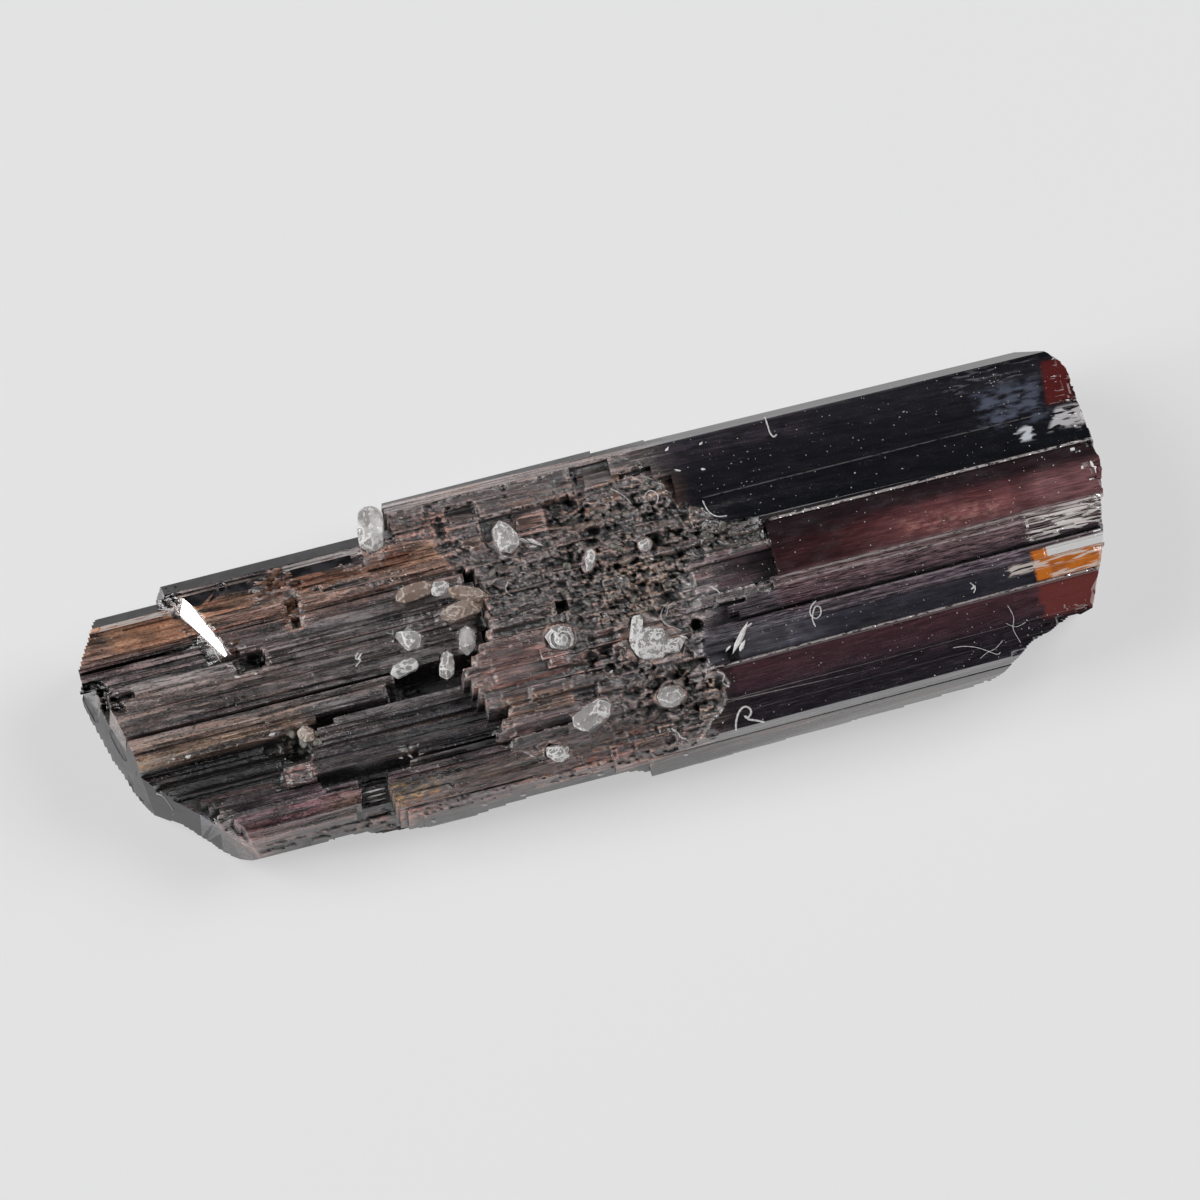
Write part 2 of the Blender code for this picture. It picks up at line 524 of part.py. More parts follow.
# the cluster's second and third crystals, grown into the first
extra = [
    ((545.5, 76.0, 3.12, 38, 16, 16, 68, 4, 0), 41),
    ((574.0, 100.0, 3.05, 38, 17, 16, -8, 0, 0), 42),
]
cluster = bpy.data.objects["quartz_cluster"]
boolean(cluster, [quartz("twin", *a, grow=1e-4, seed=s) for a, s in extra], "UNION")
for a, s in extra:
    sockets.append(quartz("socket", *a, grow=SEAT_GAP, seed=s))
crystal = boolean(crystal, sockets, "DIFFERENCE")
crystal.name = "rutile_crystal"

# ---------------------------------------------------------------- finish: metres, materials, shading
bpy.data.collections["cutters"].objects.unlink(crystal)
part.objects.link(crystal)
crystal.data.materials.clear()
crystal.data.materials.append(RUTILE)

# Loose slivers that the etching has cut free are dropped, and the mesh is cleaned.
bm = bmesh.new()
bm.from_mesh(crystal.data)
bmesh.ops.remove_doubles(bm, verts=bm.verts, dist=2e-4)
bmesh.ops.dissolve_degenerate(bm, edges=bm.edges, dist=2e-4)
left, shells = set(bm.verts), []
while left:
    stack, shell = [left.pop()], []
    while stack:
        v = stack.pop()
        shell.append(v)
        for e in v.link_edges:
            w = e.other_vert(v)
            if w in left:
                left.discard(w)
                stack.append(w)
    shells.append(shell)
shells.sort(key=len)
for shell in shells[:-1]:
    bmesh.ops.delete(bm, geom=shell, context="VERTS")
bmesh.ops.triangulate(bm, faces=bm.faces)
bm.to_mesh(crystal.data)
bm.free()

lo = Vector([min(v.co[k] for v in crystal.data.vertices) for k in range(3)])
hi = Vector([max(v.co[k] for v in crystal.data.vertices) for k in range(3)])
shift = Vector((-(lo.x + hi.x) / 2, -(lo.y + hi.y) / 2, -lo.z))
for ob in part.objects:
    for v in ob.data.vertices:
        v.co = v.co + shift
        if ob == crystal and v.co.x > TAPER_FROM:
            v.co.y *= 1 - TAPER * (v.co.x - TAPER_FROM)
        v.co = v.co * MM
    ob.data.update()
print("crystal", len(crystal.data.polygons), "faces; size mm", [round(hi[k] - lo[k], 3) for k in range(3)],
      "shift", [round(s, 4) for s in shift], "shells dropped", [len(s) for s in shells[:-1]])

if len(list(cutters.objects)) == 0:
    bpy.data.collections.remove(cutters)
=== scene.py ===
import json
import math

import bmesh
import bpy
import numpy as np
from mathutils import Matrix, Vector
from mathutils.bvhtree import BVHTree

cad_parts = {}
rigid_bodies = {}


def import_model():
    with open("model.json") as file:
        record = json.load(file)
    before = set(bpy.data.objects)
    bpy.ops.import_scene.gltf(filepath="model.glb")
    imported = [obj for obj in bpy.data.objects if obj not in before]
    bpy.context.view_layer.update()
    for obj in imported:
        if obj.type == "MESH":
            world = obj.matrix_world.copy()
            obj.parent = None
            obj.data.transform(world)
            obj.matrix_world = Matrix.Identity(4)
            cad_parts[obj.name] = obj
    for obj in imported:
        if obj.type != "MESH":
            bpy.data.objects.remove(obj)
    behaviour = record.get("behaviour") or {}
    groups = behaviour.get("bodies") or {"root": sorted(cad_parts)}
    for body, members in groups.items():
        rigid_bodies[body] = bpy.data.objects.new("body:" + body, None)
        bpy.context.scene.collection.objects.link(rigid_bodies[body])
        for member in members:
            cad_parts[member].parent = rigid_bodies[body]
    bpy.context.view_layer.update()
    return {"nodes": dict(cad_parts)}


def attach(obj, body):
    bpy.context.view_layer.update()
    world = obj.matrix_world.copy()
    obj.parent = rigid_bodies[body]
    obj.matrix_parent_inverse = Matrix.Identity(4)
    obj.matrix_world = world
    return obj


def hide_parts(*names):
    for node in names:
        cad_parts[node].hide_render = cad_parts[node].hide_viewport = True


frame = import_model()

# ---------------------------------------------------------------- layout, as in the solids
MM = 0.001
LENGTH = 20.0
GRID = LENGTH / 1053
MID = 515.5
TILT, TURN = math.radians(70), math.radians(15.07)
BACK = 1.66
SHIFT = np.array([0.2058, -0.0635, 0.0])
TAPER_FROM, TAPER = 2.2, 0.0042

ca, sa, ce, se = math.cos(TURN), math.sin(TURN), math.cos(TILT), math.sin(TILT)
_n = math.hypot(ca, sa * se)
_ax, _ay = ca / _n, sa * se / _n
E_U = np.array([ca * _ax + sa * se * _ay, -sa * _ax + ca * se * _ay, ce * _ay])
E_V = np.array([ca * _ay - sa * se * _ax, -sa * _ay - ca * se * _ax, -ce * _ax])
E_D = np.array([-sa * ce, -ca * ce, se])  # towards the camera
ORIGIN = SHIFT + np.array([0.0, BACK, 0.0])
CORNER = ORIGIN - MID * GRID * E_U


def rng(seed):
    return np.random.default_rng(seed)


# ---------------------------------------------------------------- noise on the layout
def vnoise(u, v, su, sv, seed):
    """Smooth value noise with cells su by sv steps."""
    g = rng(seed).random((256, 256))
    a, b = np.asarray(u) / su, np.asarray(v) / sv
    i, j = np.floor(a).astype(int), np.floor(b).astype(int)
    fa, fb = a - i, b - j
    fa, fb = fa * fa * (3 - 2 * fa), fb * fb * (3 - 2 * fb)
    i0, j0, i1, j1 = i % 256, j % 256, (i + 1) % 256, (j + 1) % 256
    return ((g[i0, j0] * (1 - fa) + g[i1, j0] * fa) * (1 - fb) + (g[i0, j1] * (1 - fa) + g[i1, j1] * fa) * fb)


def fbm(u, v, su, sv, seed, octaves=3):
    t, w, s = 0.0, 1.0, 0.0
    for k in range(octaves):
        t = t + w * vnoise(u, v, su / 2 ** k, sv / 2 ** k, seed + k)
        s += w
        w *= 0.5
    return t / s


def bricks(u, v, su, sv, seed):
    """Blocky noise: rows about sv high, each broken into lengths about su."""
    r = rng(seed)
    rows = np.cumsum(r.uniform(0.5, 1.5, 400)) * sv - 60 * sv
    row = np.searchsorted(rows, v)
    off = r.uniform(0, 1000, 401)
    scale = r.uniform(0.6, 1.6, 401) * su
    cell = np.floor((u + off[row]) / scale[row]).astype(int)
    g = rng(seed + 1).random((256, 256))
    return g[row % 256, cell % 256]


def bowls(u, v, centres):
    """Depth, 0 to 1, of the deepest of many round-bottomed pits: (u, v, radius along, radius across, depth)."""
    d = np.zeros_like(u)
    for cu, cv, ru, rv, dep in centres:
        m = (np.abs(u - cu) < ru) & (np.abs(v - cv) < rv)
        if m.any():
            q = 1 - ((u[m] - cu) / ru) ** 2 - ((v[m] - cv) / rv) ** 2
            d[m] = np.maximum(d[m], dep * np.sqrt(np.clip(q, 0, 1)))
    return d


def scatter(n, u0, u1, v0, v1, ru, rv, seed, dep=(0.45, 1.0)):
    r = rng(seed)
    return [(r.uniform(u0, u1), r.uniform(v0, v1), r.uniform(*ru), r.uniform(*rv), r.uniform(*dep)) for _ in range(n)]


def cobbles(u, v, su, sv, seed):
    """Rounded stones about su by sv: distance from the middle of the nearest (0 to about 1), and its random number."""
    g = rng(seed).random((4, 256, 256))
    a, b = u / su, v / sv
    i, j = np.floor(a).astype(int), np.floor(b).astype(int)
    best, second, own = np.full(a.shape, 9.0), np.full(a.shape, 9.0), np.zeros_like(a)
    for di in (-1, 0, 1):
        for dj in (-1, 0, 1):
            m, n = (i + di) % 256, (j + dj) % 256
            d = np.hypot(i + di + g[0, m, n] - a, j + dj + g[1, m, n] - b)
            closer = d < best
            second = np.where(closer, best, np.minimum(second, d))
            own = np.where(closer, g[2, m, n], own)
            best = np.where(closer, d, best)
    return best, second - best, own


def soft(x, lo, hi):
    t = np.clip((x - lo) / (hi - lo), 0, 1)
    return t * t * (3 - 2 * t)


def window(x, a, b, edge):
    return soft(x, a - edge, a + edge) * (1 - soft(x, b - edge, b + edge))


def spot(u, v, cu, cv, ru, rv):
    return np.exp(-((u - cu) / ru) ** 2 - ((v - cv) / rv) ** 2)


def box(u, v, u0, u1, v0, v1, e=1.5):
    return window(u, u0, u1, e) * window(v, v0, v1, e)


def table(t, x):
    xs, ys = zip(*t)
    return np.interp(x, xs, ys)


# ---------------------------------------------------------------- the carved crystal
cad = frame["nodes"]["rutile_crystal"].data
bm = bmesh.new()
bm.from_mesh(cad)
bmesh.ops.remove_doubles(bm, verts=bm.verts, dist=2e-7)
bmesh.ops.scale(bm, vec=(1000, 1000, 1000), verts=bm.verts)
bmesh.ops.recalc_face_normals(bm, faces=bm.faces)
CAST = BVHTree.FromBMesh(bm).ray_cast
base_mesh = bpy.data.meshes.new("crystal_base")
bm.to_mesh(base_mesh)
bm.free()

GRAINS = sorted(n for n in frame["nodes"] if n != "rutile_crystal")


def raw_layout(p):
    q = p - ORIGIN
    return q @ E_U / GRID + MID, q @ E_V / GRID


def to_layout(p):
    """Layout place of points in mm, with the taper taken out."""
    q = p.copy()
    q[..., 1] /= 1 - TAPER * np.maximum(q[..., 0] - TAPER_FROM, 0)
    return raw_layout(q)


seats = []
for name in GRAINS:
    pts = np.array([v.co for v in frame["nodes"][name].data.vertices], float) * 1000
    gu, gv = raw_layout(pts)
    c = np.array([gu.mean(), gv.mean()])
    q = np.stack([gu, gv], 1) - c
    _, _, axes = np.linalg.svd(q, full_matrices=False)
    reach = np.abs(q @ axes.T).max(0)
    seats.append((c, axes, reach))


def seated(u, v):
    """1 under a quartz grain, 0 away from it."""
    s = np.zeros_like(u)
    for c, axes, reach in seats:
        q = np.stack([u - c[0], v - c[1]], -1) @ axes.T
        r = np.sqrt((q[..., 0] / (reach[0] + 1)) ** 2 + (q[..., 1] / (reach[1] + 1)) ** 2)
        s = np.maximum(s, 1 - soft(r, 0.85, 1.12))
    return s


def around(h, n, lowest):
    out = h.copy()
    for i in range(-n, n + 1):
        for j in range(-n, n + 1):
            r = np.roll(np.roll(h, i, 0), j, 1)
            out = np.minimum(out, r) if lowest else np.maximum(out, r)
    return out


kept = {}


def sheet(ea, eb, ed, origin, A, B, depth, margin=0.010, far=12.0, keep=None):
    """A cutter: what lies above the crystal's surface, seen along ed, less a margin, with depth() mm carved in."""
    aa, bb = np.meshgrid(A, B, indexing="ij")
    start = origin + aa[..., None] * ea + bb[..., None] * eb + far * ed
    down = Vector(-ed)
    hf = np.full(aa.size, -1e3)
    flat = start.reshape(-1, 3)
    for k in range(len(flat)):
        hit = CAST(Vector(flat[k]), down)
        if hit[0] is not None:
            hf[k] = far - hit[3]
    h = hf.reshape(aa.shape)
    top = h.max() + 1.0
    p = origin + aa[..., None] * ea + bb[..., None] * eb + np.where(h > -100, h, 0)[..., None] * ed
    grown = around(h, 1, False)
    d = depth(p, h > -100, h)
    t = np.where(grown > -100, grown + margin - d, top - 0.4)
    if keep:
        kept[keep] = (A, B, np.where(h > -100, np.minimum(h, t), 0.0), (h > -100) & (d < 5))
    sheet_pts = origin + aa[..., None] * ea + bb[..., None] * eb + t[..., None] * ed
    na, nb = aa.shape
    idx = np.arange(na * nb).reshape(na, nb)
    quads = np.stack([idx[:-1, :-1], idx[1:, :-1], idx[1:, 1:], idx[:-1, 1:]], -1).reshape(-1, 4)
    tris = np.concatenate([quads[:, [0, 1, 2]], quads[:, [0, 2, 3]]])
    ring = np.concatenate([idx[:, 0], idx[-1, 1:], idx[-2::-1, -1], idx[0, -2:0:-1]])
    lid = (origin + aa[..., None] * ea + bb[..., None] * eb + top * ed).reshape(-1, 3)[ring]
    nr, base = len(ring), na * nb
    r = np.arange(nr)
    r2 = (r + 1) % nr
    walls = np.concatenate([np.stack([ring[r], base + r, base + r2], -1), np.stack([ring[r], base + r2, ring[r2]], -1)])
    me = bpy.data.meshes.new("sheet")
    faces = tris.tolist() + walls.tolist() + [list(range(base, base + nr))]
    me.from_pydata(np.concatenate([sheet_pts.reshape(-1, 3), lid]).tolist(), [], faces)
    b = bmesh.new()
    b.from_mesh(me)
    bmesh.ops.triangulate(b, faces=[f for f in b.faces if len(f.verts) > 4])
    bmesh.ops.recalc_face_normals(b, faces=b.faces)
    if b.calc_volume(signed=True) < 0:
        bmesh.ops.reverse_faces(b, faces=b.faces)
    b.to_mesh(me)
    b.free()
    return me


def add_object(name, me):
    o = bpy.data.objects.new(name, me)
    bpy.context.scene.collection.objects.link(o)
    return o


def evaluated(ob):
    bpy.context.view_layer.update()
    return bpy.data.meshes.new_from_object(ob.evaluated_get(bpy.context.evaluated_depsgraph_get()))


def cut(ob, me, operation="DIFFERENCE"):
    """Cuts a closed mesh from an object, keeping the plain result."""
    tool = add_object("tool", me)
    mod = ob.modifiers.new("b", "BOOLEAN")
    mod.operation, mod.object, mod.solver = operation, tool, "MANIFOLD"
    result = evaluated(ob)
    ob.modifiers.remove(mod)
    ob.data = result
    bpy.data.objects.remove(tool)
    bpy.data.meshes.remove(me)
    return len(result.polygons)


# The left border of the second step's bright facet, along u - 0.46 (v + 66), for each place across.
FACET_LEFT = [(-68, 117), (-64, 112), (-58, 105), (-50, 100.8), (-30, 103.5), (-22, 104.5), (-19, 108), (-14, 106.5), (2, 111)]
# Where the etched middle starts and ends along the crystal, for each place across it.
LEFT_LIMIT = [(-112, 328), (-100, 334), (-66, 340), (-62, 372), (-40, 380), (-14, 388), (10, 396), (40, 392),
              (58, 374), (75, 362), (92, 370), (108, 380), (118, 394), (128, 396), (136, 384), (150, 376), (162, 400),
              (190, 430), (230, 430)]
RIGHT_LIMIT = [(-112, 560), (-98, 580), (-70, 596), (-50, 612), (-40, 618), (-8, 650), (-4, 690), (25, 697), (28, 640),
               (58, 640), (62, 696), (70, 690), (74, 625), (100, 610), (128, 610), (150, 622), (165, 615), (200, 585), (230, 540)]
# The worn outline at the ends, seen square on.
FRONT_EDGE = [(95, 230), (112, 206.8), (150, 206.6), (180, 205.8), (220, 205.4), (238, 207), (245, 210.8), (260, 212), (280, 214.4), (295, 216.8),
              (303, 218.6), (330, 217.6), (345, 217), (372, 214.4), (400, 212.6), (440, 212), (500, 212), (512, 213.4), (520, 216), (530, 230),
              (560, 224), (600, 221.6), (640, 220.4), (680, 219.2), (720, 218.6), (760, 218), (800, 216.4), (840, 215.2), (868, 213.6),
              (880, 212.6), (892, 209.6), (899, 206), (906, 200), (915, 195), (922, 188), (931, 183.5), (940, 181.5),
              (950, 179), (955, 175.5), (962, 173), (969, 170), (975, 169), (980, 171.5), (987, 170.5), (994, 168.5),
              (1000, 165), (1006, 159), (1012, 150), (1060, 150)]
RIGHT_EDGE = [(-112, 1000), (-103, 1003), (-97, 1010), (-89, 1020), (-77, 1029), (-60, 1032), (-40, 1035), (-15, 1038), (0, 1040), (35, 1042),
              (60, 1042), (72, 1041), (84, 1039), (95, 1034), (107, 1025), (112, 1018), (118, 1017), (122, 1021), (127, 1022), (134, 1018), (142, 1016),
              (150, 1012), (156, 1007), (166, 1000), (230, 1000)]
LEFT_EDGE = [(-90, 60), (-66, 22.5), (-43, 9), (-20, -4.5), (-12, -3.0), (-7, -3.5), (0, -8.5), (10, -11), (27, -10), (35, -5.5), (55, 0),
             (75, 5), (90, 12), (98, 14.5), (110, 17.5), (118, 21), (127, 25), (134, 30), (140, 35), (146, 45), (151, 55),
             (160, 64), (170, 73), (177, 80), (190, 91), (201, 104), (206, 114), (212, 140), (230, 200)]


def etched(u, v):
    """0 to 1: how strongly the ground is etched."""
    w = 9 * (fbm(u, v, 26, 12, 71) - 0.5) * 2
    left = soft(u - table(LEFT_LIMIT, v), -4 + w, 6 + w)
    right = 1 - soft(u - table(RIGHT_LIMIT, v), -6 + w, 5 + w)
    return left * right


def ragged_ground(u, v):
    """0 to 1: rough patches of the stepped half."""
    r = (spot(u, v, 205, -56, 20, 15) + spot(u, v, 221, -26, 8, 22) + spot(u, v, 166, 10, 16, 10)
         + 0.5 * spot(u, v, 130, 87, 95, 4.5) + 0.95 * spot(u, v, 188, 100, 24, 12) + 0.9 * spot(u, v, 183, 133, 18, 10)
         + 0.75 * spot(u, v, 175, 197, 75, 9) + 0.85 * spot(u, v, 380, 205, 130, 9) + 0.65 * spot(u, v, 310, 184, 34, 22)
         + 0.6 * spot(u, v, 300, -58, 30, 8) + 0.5 * spot(u, v, 26, -45, 7, 5) + 0.45 * spot(u, v, 345, 8, 40, 26)
         + 0.7 * spot(u, v, 245, 198, 14, 12) + 0.8 * spot(u, v, 298, 140, 8, 10) + 0.7 * spot(u, v, 48, 128, 9, 14)
         + 0.6 * spot(u, v, 100, 158, 12, 14) + 0.9 * spot(u, v, 10, 14, 16, 12) + 0.5 * spot(u, v, 290, -35, 35, 12)
         + 0.5 * spot(u, v, 340, -82, 20, 20))
    return np.clip(r, 0, 1)


def core_ground(u, v):
    """0 to 1: the deepest etched ground."""
    return np.clip(1.35 * spot(u, v, 565, 25, 85, 60) + 0.9 * spot(u, v, 545, -30, 75, 38) + 0.95 * spot(u, v, 570, 140, 60, 55)
                   + 0.7 * spot(u, v, 420, 0, 55, 40) + 0.8 * spot(u, v, 378, -50, 26, 22) + 0.6 * spot(u, v, 365, -85, 30, 20)
                   + 0.9 * spot(u, v, 502, -54, 24, 17) + 0.6 * spot(u, v, 650, 0, 40, 18) + 0.5 * spot(u, v, 500, 105, 30, 16)
                   - 0.6 * spot(u, v, 425, 82, 45, 18) - 0.5 * spot(u, v, 480, -96, 45, 8) - 0.4 * spot(u, v, 470, -52, 14, 12)
                   - 0.7 * spot(u, v, 640, 50, 45, 40) - 0.5 * spot(u, v, 640, 100, 40, 25), 0, 1)


def flats(u, v):
    """0 to 1: short flat laths left standing in the etched middle."""
    return soft(bricks(u + 3 * vnoise(u, v, 20, 5, 9), v, 25, 7.5, 73), 0.72, 0.78)


def stone_field(u, v):
    """The stones that the etching left: how far each place is let down by them, and the stone's own number."""
    near, gap, own = cobbles(u, v, 8.5, 5.6, 61)
    _, gap2, own2 = cobbles(u + 40, v, 4.6, 3.4, 63)
    near3, gap3, own3 = cobbles(u + 15 + 0.4 * v, v + 7, 21, 10, 65)
    big = soft(fbm(u, v, 46, 26, 67, 2), 0.44, 0.54)
    one = 0.062 * (1 - soft(gap, 0.0, 0.30)) + 0.085 * own ** 1.3 + 0.03 * near ** 2
    other = 0.090 * (1 - soft(gap3, 0.0, 0.16)) + 0.15 * own3 ** 1.2 + 0.05 * near3 ** 2
    return one * (1 - big) + other * big + 0.022 * (1 - soft(gap2, 0.0, 0.34)) + 0.02 * own2, np.where(big > 0.5, own3, own)


def calm_ground(u, v):
    """0 to 1: smooth places within the etched middle."""
    return np.clip(box(u, v, 398, 476, 62, 99, 4) + box(u, v, 430, 530, -105, -90, 2) + box(u, v, 454, 486, -66, -42, 2)
                   + box(u, v, 532, 580, -86, -72, 2) + box(u, v, 405, 470, 136, 151, 2) + box(u, v, 405, 470, 113, 131, 2) * 0.8
                   + box(u, v, 612, 690, 26, 70, 3) + box(u, v, 606, 680, 76, 128, 3), 0, 1)


def top_depth(p, hit, h):
    u, v = to_layout(p)
    ur, vr = raw_layout(p)
    core, calm = core_ground(u, v), calm_ground(u, v)
    m = etched(u, v)
    # the etched middle: broken laths, then granules, then pits
    uw = u + 3 * vnoise(u, v, 9, 6, 5)
    vw = v + 2.4 * vnoise(u, v, 8, 8, 6)
    blocks = bricks(u, v, 26, 7.5, 21) ** 1.4
    small = bricks(uw, vw, 11, 4.4, 31)
    grains = np.abs(fbm(u, v, 9, 5.5, 41, 2) - 0.5) * 2
    holes = bowls(uw, vw, scatter(420, 474, 640, -72, 196, (2.4, 7.5), (2.2, 5.2), 51, (0.25, 0.75))
                  + scatter(36, 480, 640, -66, 192, (2.4, 5.0), (2.2, 4.0), 54, (0.8, 1.3))
                  + scatter(150, 600, 695, -40, 20, (1.8, 4.0), (1.6, 3.2), 53, (0.3, 0.9))
                  + scatter(200, 345, 480, -98, 190, (2.5, 8.5), (1.6, 3.4), 52, (0.3, 0.9)))
    stones = stone_field(uw, vw)[0]
    swell = soft(fbm(u, v, 54, 26, 69, 2), 0.34, 0.72)
    flat = flats(u, v) * (1 - 0.4 * core)
    pockets = bowls(uw, vw, scatter(17, 470, 640, -66, 190, (6, 12), (4.5, 8.5), 57, (0.5, 1.0)))
    long_laths = bricks(u + 4 * vnoise(u, v, 30, 3, 8), v, 42, 3.4, 25)
    rough = (0.09 * blocks * (1 - 0.5 * core) + (0.05 + 0.02 * core) * small + 0.03 * grains + (0.05 + 0.06 * core) * holes
             + (0.25 + 0.85 * core) * stones + 0.06 * long_laths * (1 - core))
    d = m * (0.012 + rough * (0.45 + 0.75 * core) * (1 - 0.75 * flat) + 0.10 * core * swell + 0.20 * pockets) * (1 - 0.82 * calm)
    # single holes and cracks of the middle
    d += bowls(u, v, [(606, 86, 6.5, 6.5, 0.28), (594, 196, 7, 5.5, 0.16), (452, -94, 4.5, 3.4, 0.12), (490, -94, 3.4, 2.6, 0.10),
                      (452, -85, 3.4, 2.0, 0.10), (512, 107, 5.5, 5, 0.20), (498, -56, 7, 8, 0.16), (512, -60, 8, 6, 0.16),
                      (381, -70, 6, 12, 0.20), (501, 82, 6, 3.5, 0.12), (566, 72, 5.5, 10, 0.20), (524, -18, 6, 5, 0.13)])
    d += 0.07 * window(u + 0.02 * v, 517.2, 519.4, 0.7) * window(v, -104, -68, 3) + 0.04 * window(u, 523, 524.6, 0.6) * window(v, -101, -78, 3)
    # the stepped half: laths of unequal length, thin striations and ragged patches
    left = (1 - m) * (1 - soft(u, 560, 640))
    w = v + 1.2 * (fbm(u, v, 90, 14, 81, 2) - 0.5)
    lines = np.zeros_like(u)
    r = rng(91)
    for k in range(170):
        vc, wid, dep = r.uniform(-80, 205), r.uniform(0.8, 2.0), r.uniform(0.015, 0.065)
        ua = r.uniform(-30, 430)
        ub = ua + r.uniform(40, 300)
        lines = np.maximum(lines, np.clip(1 - np.abs(w - vc) / wid, 0, 1) * window(u, ua, ub, 2) * dep)
    for v0, u0, u1, wid, dep in ((-26, 8, 122, 1.6, 0.07), (-16.5, 10, 128, 1.6, 0.07), (-12.5, 0, 130, 1.4, 0.08), (-46, 205, 258, 1.6, 0.08),
                                 (-38, 252, 300, 1.5, 0.09), (-21, 230, 330, 1.6, 0.07), (-29, 230, 320, 1.4, 0.06), (58, 26, 310, 1.6, 0.08),
                                 (81, 44, 205, 1.4, 0.06), (20.5, 175, 330, 1.6, 0.06), (26, 160, 260, 1.2, 0.04), (178.5, 118, 262, 1.6, 0.06),
                                 (157, 205, 245, 1.6, 0.06), (-46, 300, 370, 1.5, 0.08), (-53, 295, 345, 1.5, 0.07), (9, 184, 350, 1.8, 0.05)):
        lines = np.maximum(lines, np.clip(1 - np.abs(w - v0) / wid, 0, 1) * window(u, u0, u1, 2) * dep)
    ragged = ragged_ground(u, v)
    plain = 0.018 * bricks(u, v, 60, 3.2, 101) * (bricks(u, v, 90, 9, 105) > 0.45)
    d += left * np.maximum(0, np.maximum(lines, plain) + ragged * (0.012 + 0.10 * small + 0.08 * grains + 0.03 * blocks))
    # the dark notch in the left tip
    tip = (1 - soft(u + 0.55 * (v - 14), 14, 24)) * soft(v, 1.5, 4.5) * (1 - soft(v - 0.55 * np.maximum(u, 0), 22, 31))
    goal = 0.75 + 0.055 * np.clip(u + 8 + 0.5 * (v - 10), 0, 40) + 0.25 * fbm(u, v, 7, 5, 131, 2)
    d = np.maximum(d, tip * np.clip(p[..., 2] - goal, 0, 2) / se)
    pitted = (1 - soft(u - 0.6 * (v - 8), 18, 27)) * soft(v, -8, -4) * (1 - soft(v - 0.25 * np.maximum(u, 0), 23, 29))
    pits = bowls(u, v, scatter(46, -9, 34, -7, 28, (2.0, 5.5), (1.8, 4.4), 133, (0.6, 1.0)))
    d += pitted * (0.03 + 0.20 * pits) + 0.10 * box(u, v, 16, 46, 12.5, 18.5, 1.4) * (bricks(u, v, 9, 3, 135) > 0.2)
    # the grooved end of the second step's back lath
    d += 0.075 * box(u, v, 88, 114, -81, -60, 3) * (np.mod(u - 0.45 * v, 9.0) < 3.6)
    # dark recesses of the stepped half
    d += bowls(u, v, [(155, -65, 5, 6, 0.10), (153, 2, 5, 6, 0.10), (170, 12, 8, 5, 0.16), (188, 112, 13, 8, 0.25), (164, 104, 8, 6, 0.18),
                      (294, 72, 6, 6, 0.12), (313, 82, 9, 5, 0.16), (98, 172, 9, 9, 0.14), (228, -52, 7, 4, 0.10), (246, -42, 6, 3, 0.08)])
    # chipped edges: wherever the ground drops beside a place
    low = around(np.where(hit, h, h[hit].min()), 2, True)
    drop = np.clip(h - low, 0, 0.4)
    chip = (bricks(uw, vw, 6, 3.0, 141) > 0.55) * bricks(uw, vw, 6, 3.0, 142)
    worn = 0.10 + 0.9 * np.clip(m + ragged, 0, 1)
    d += np.where(hit, soft(drop, 0.03, 0.12) * np.minimum(drop, 0.12) * chip * worn * 0.8, 0) * (u < 700)
    # notches on the smooth half's ridges, and its fine striations
    ridge = np.clip(1 - np.abs(v - 2) / 2.4, 0, 1) + np.clip(1 - np.abs(v - 132) / 2.4, 0, 1)
    d += (1 - m) * soft(u, 600, 660) * ridge * 0.045 * (vnoise(u, v, 5, 3, 111) > 0.55)
    striae = np.zeros_like(u)
    for v0, u0, u1, wid, dep in ((-41, 600, 860, 1.6, 0.045), (-37.5, 640, 1000, 1.3, 0.03), (-66, 640, 900, 1.2, 0.02), (-83, 640, 800, 1.2, 0.02),
                                 (64, 690, 1036, 1.3, 0.05), (70.5, 700, 1036, 1.4, 0.05), (76, 660, 1030, 1.3, 0.04), (82, 640, 1030, 1.5, 0.055),
                                 (86.5, 640, 960, 1.2, 0.04), (91.5, 650, 950, 1.8, 0.08), (97, 610, 940, 1.2, 0.035), (102.5, 610, 950, 1.4, 0.045),
                                 (108, 640, 940, 1.5, 0.05), (113, 700, 930, 1.2, 0.03), (155, 620, 930, 1.2, 0.03), (163, 600, 900, 1.2, 0.025),
                                 (170, 600, 880, 1.3, 0.03), (180, 600, 880, 1.2, 0.025), (205.5, 540, 890, 1.8, 0.07), (210.5, 540, 880, 1.3, 0.04),
                                 (199, 560, 900, 1.2, 0.03)):
        striae = np.maximum(striae, np.clip(1 - np.abs(w - v0) / wid, 0, 1) * window(u, u0, u1, 4) * dep)
    d += (1 - m) * soft(u, 590, 640) * striae
    # scars of the broken right end
    d += box(u, v, 944, 1018, 97, 131, 1.0) * 0.035 + box(u, v, 960, 1026, 96, 109, 0.8) * (-0.030) + box(u, v, 1000, 1030, -89, -42, 1.5) * 0.03
    d += box(u, v, 948, 1038, 58, 92, 2) * 0.05 * (bricks(u, v, 30, 3.2, 151) > 0.5)
    d += box(u, v, 998, 1036, -44, -14, 2) * 0.06 * vnoise(u - 0.7 * v, v, 9, 3, 153)
    rim = np.clip(soft(u, 1000, 1032) + soft(v - table(FRONT_EDGE, np.clip(u, 890, 1060)), -16, -2) * (u > 890), 0, 1)
    d += rim * 0.09 * (bricks(u, v, 9, 6, 121) > 0.55) * bricks(u, v, 9, 6, 122)
    # the long edges at the back and front are straight
    d *= (0.10 + 0.90 * soft(v, -104, -92)) * (1 - 0.75 * soft(v, 200, 208) * soft(u, 285, 300))
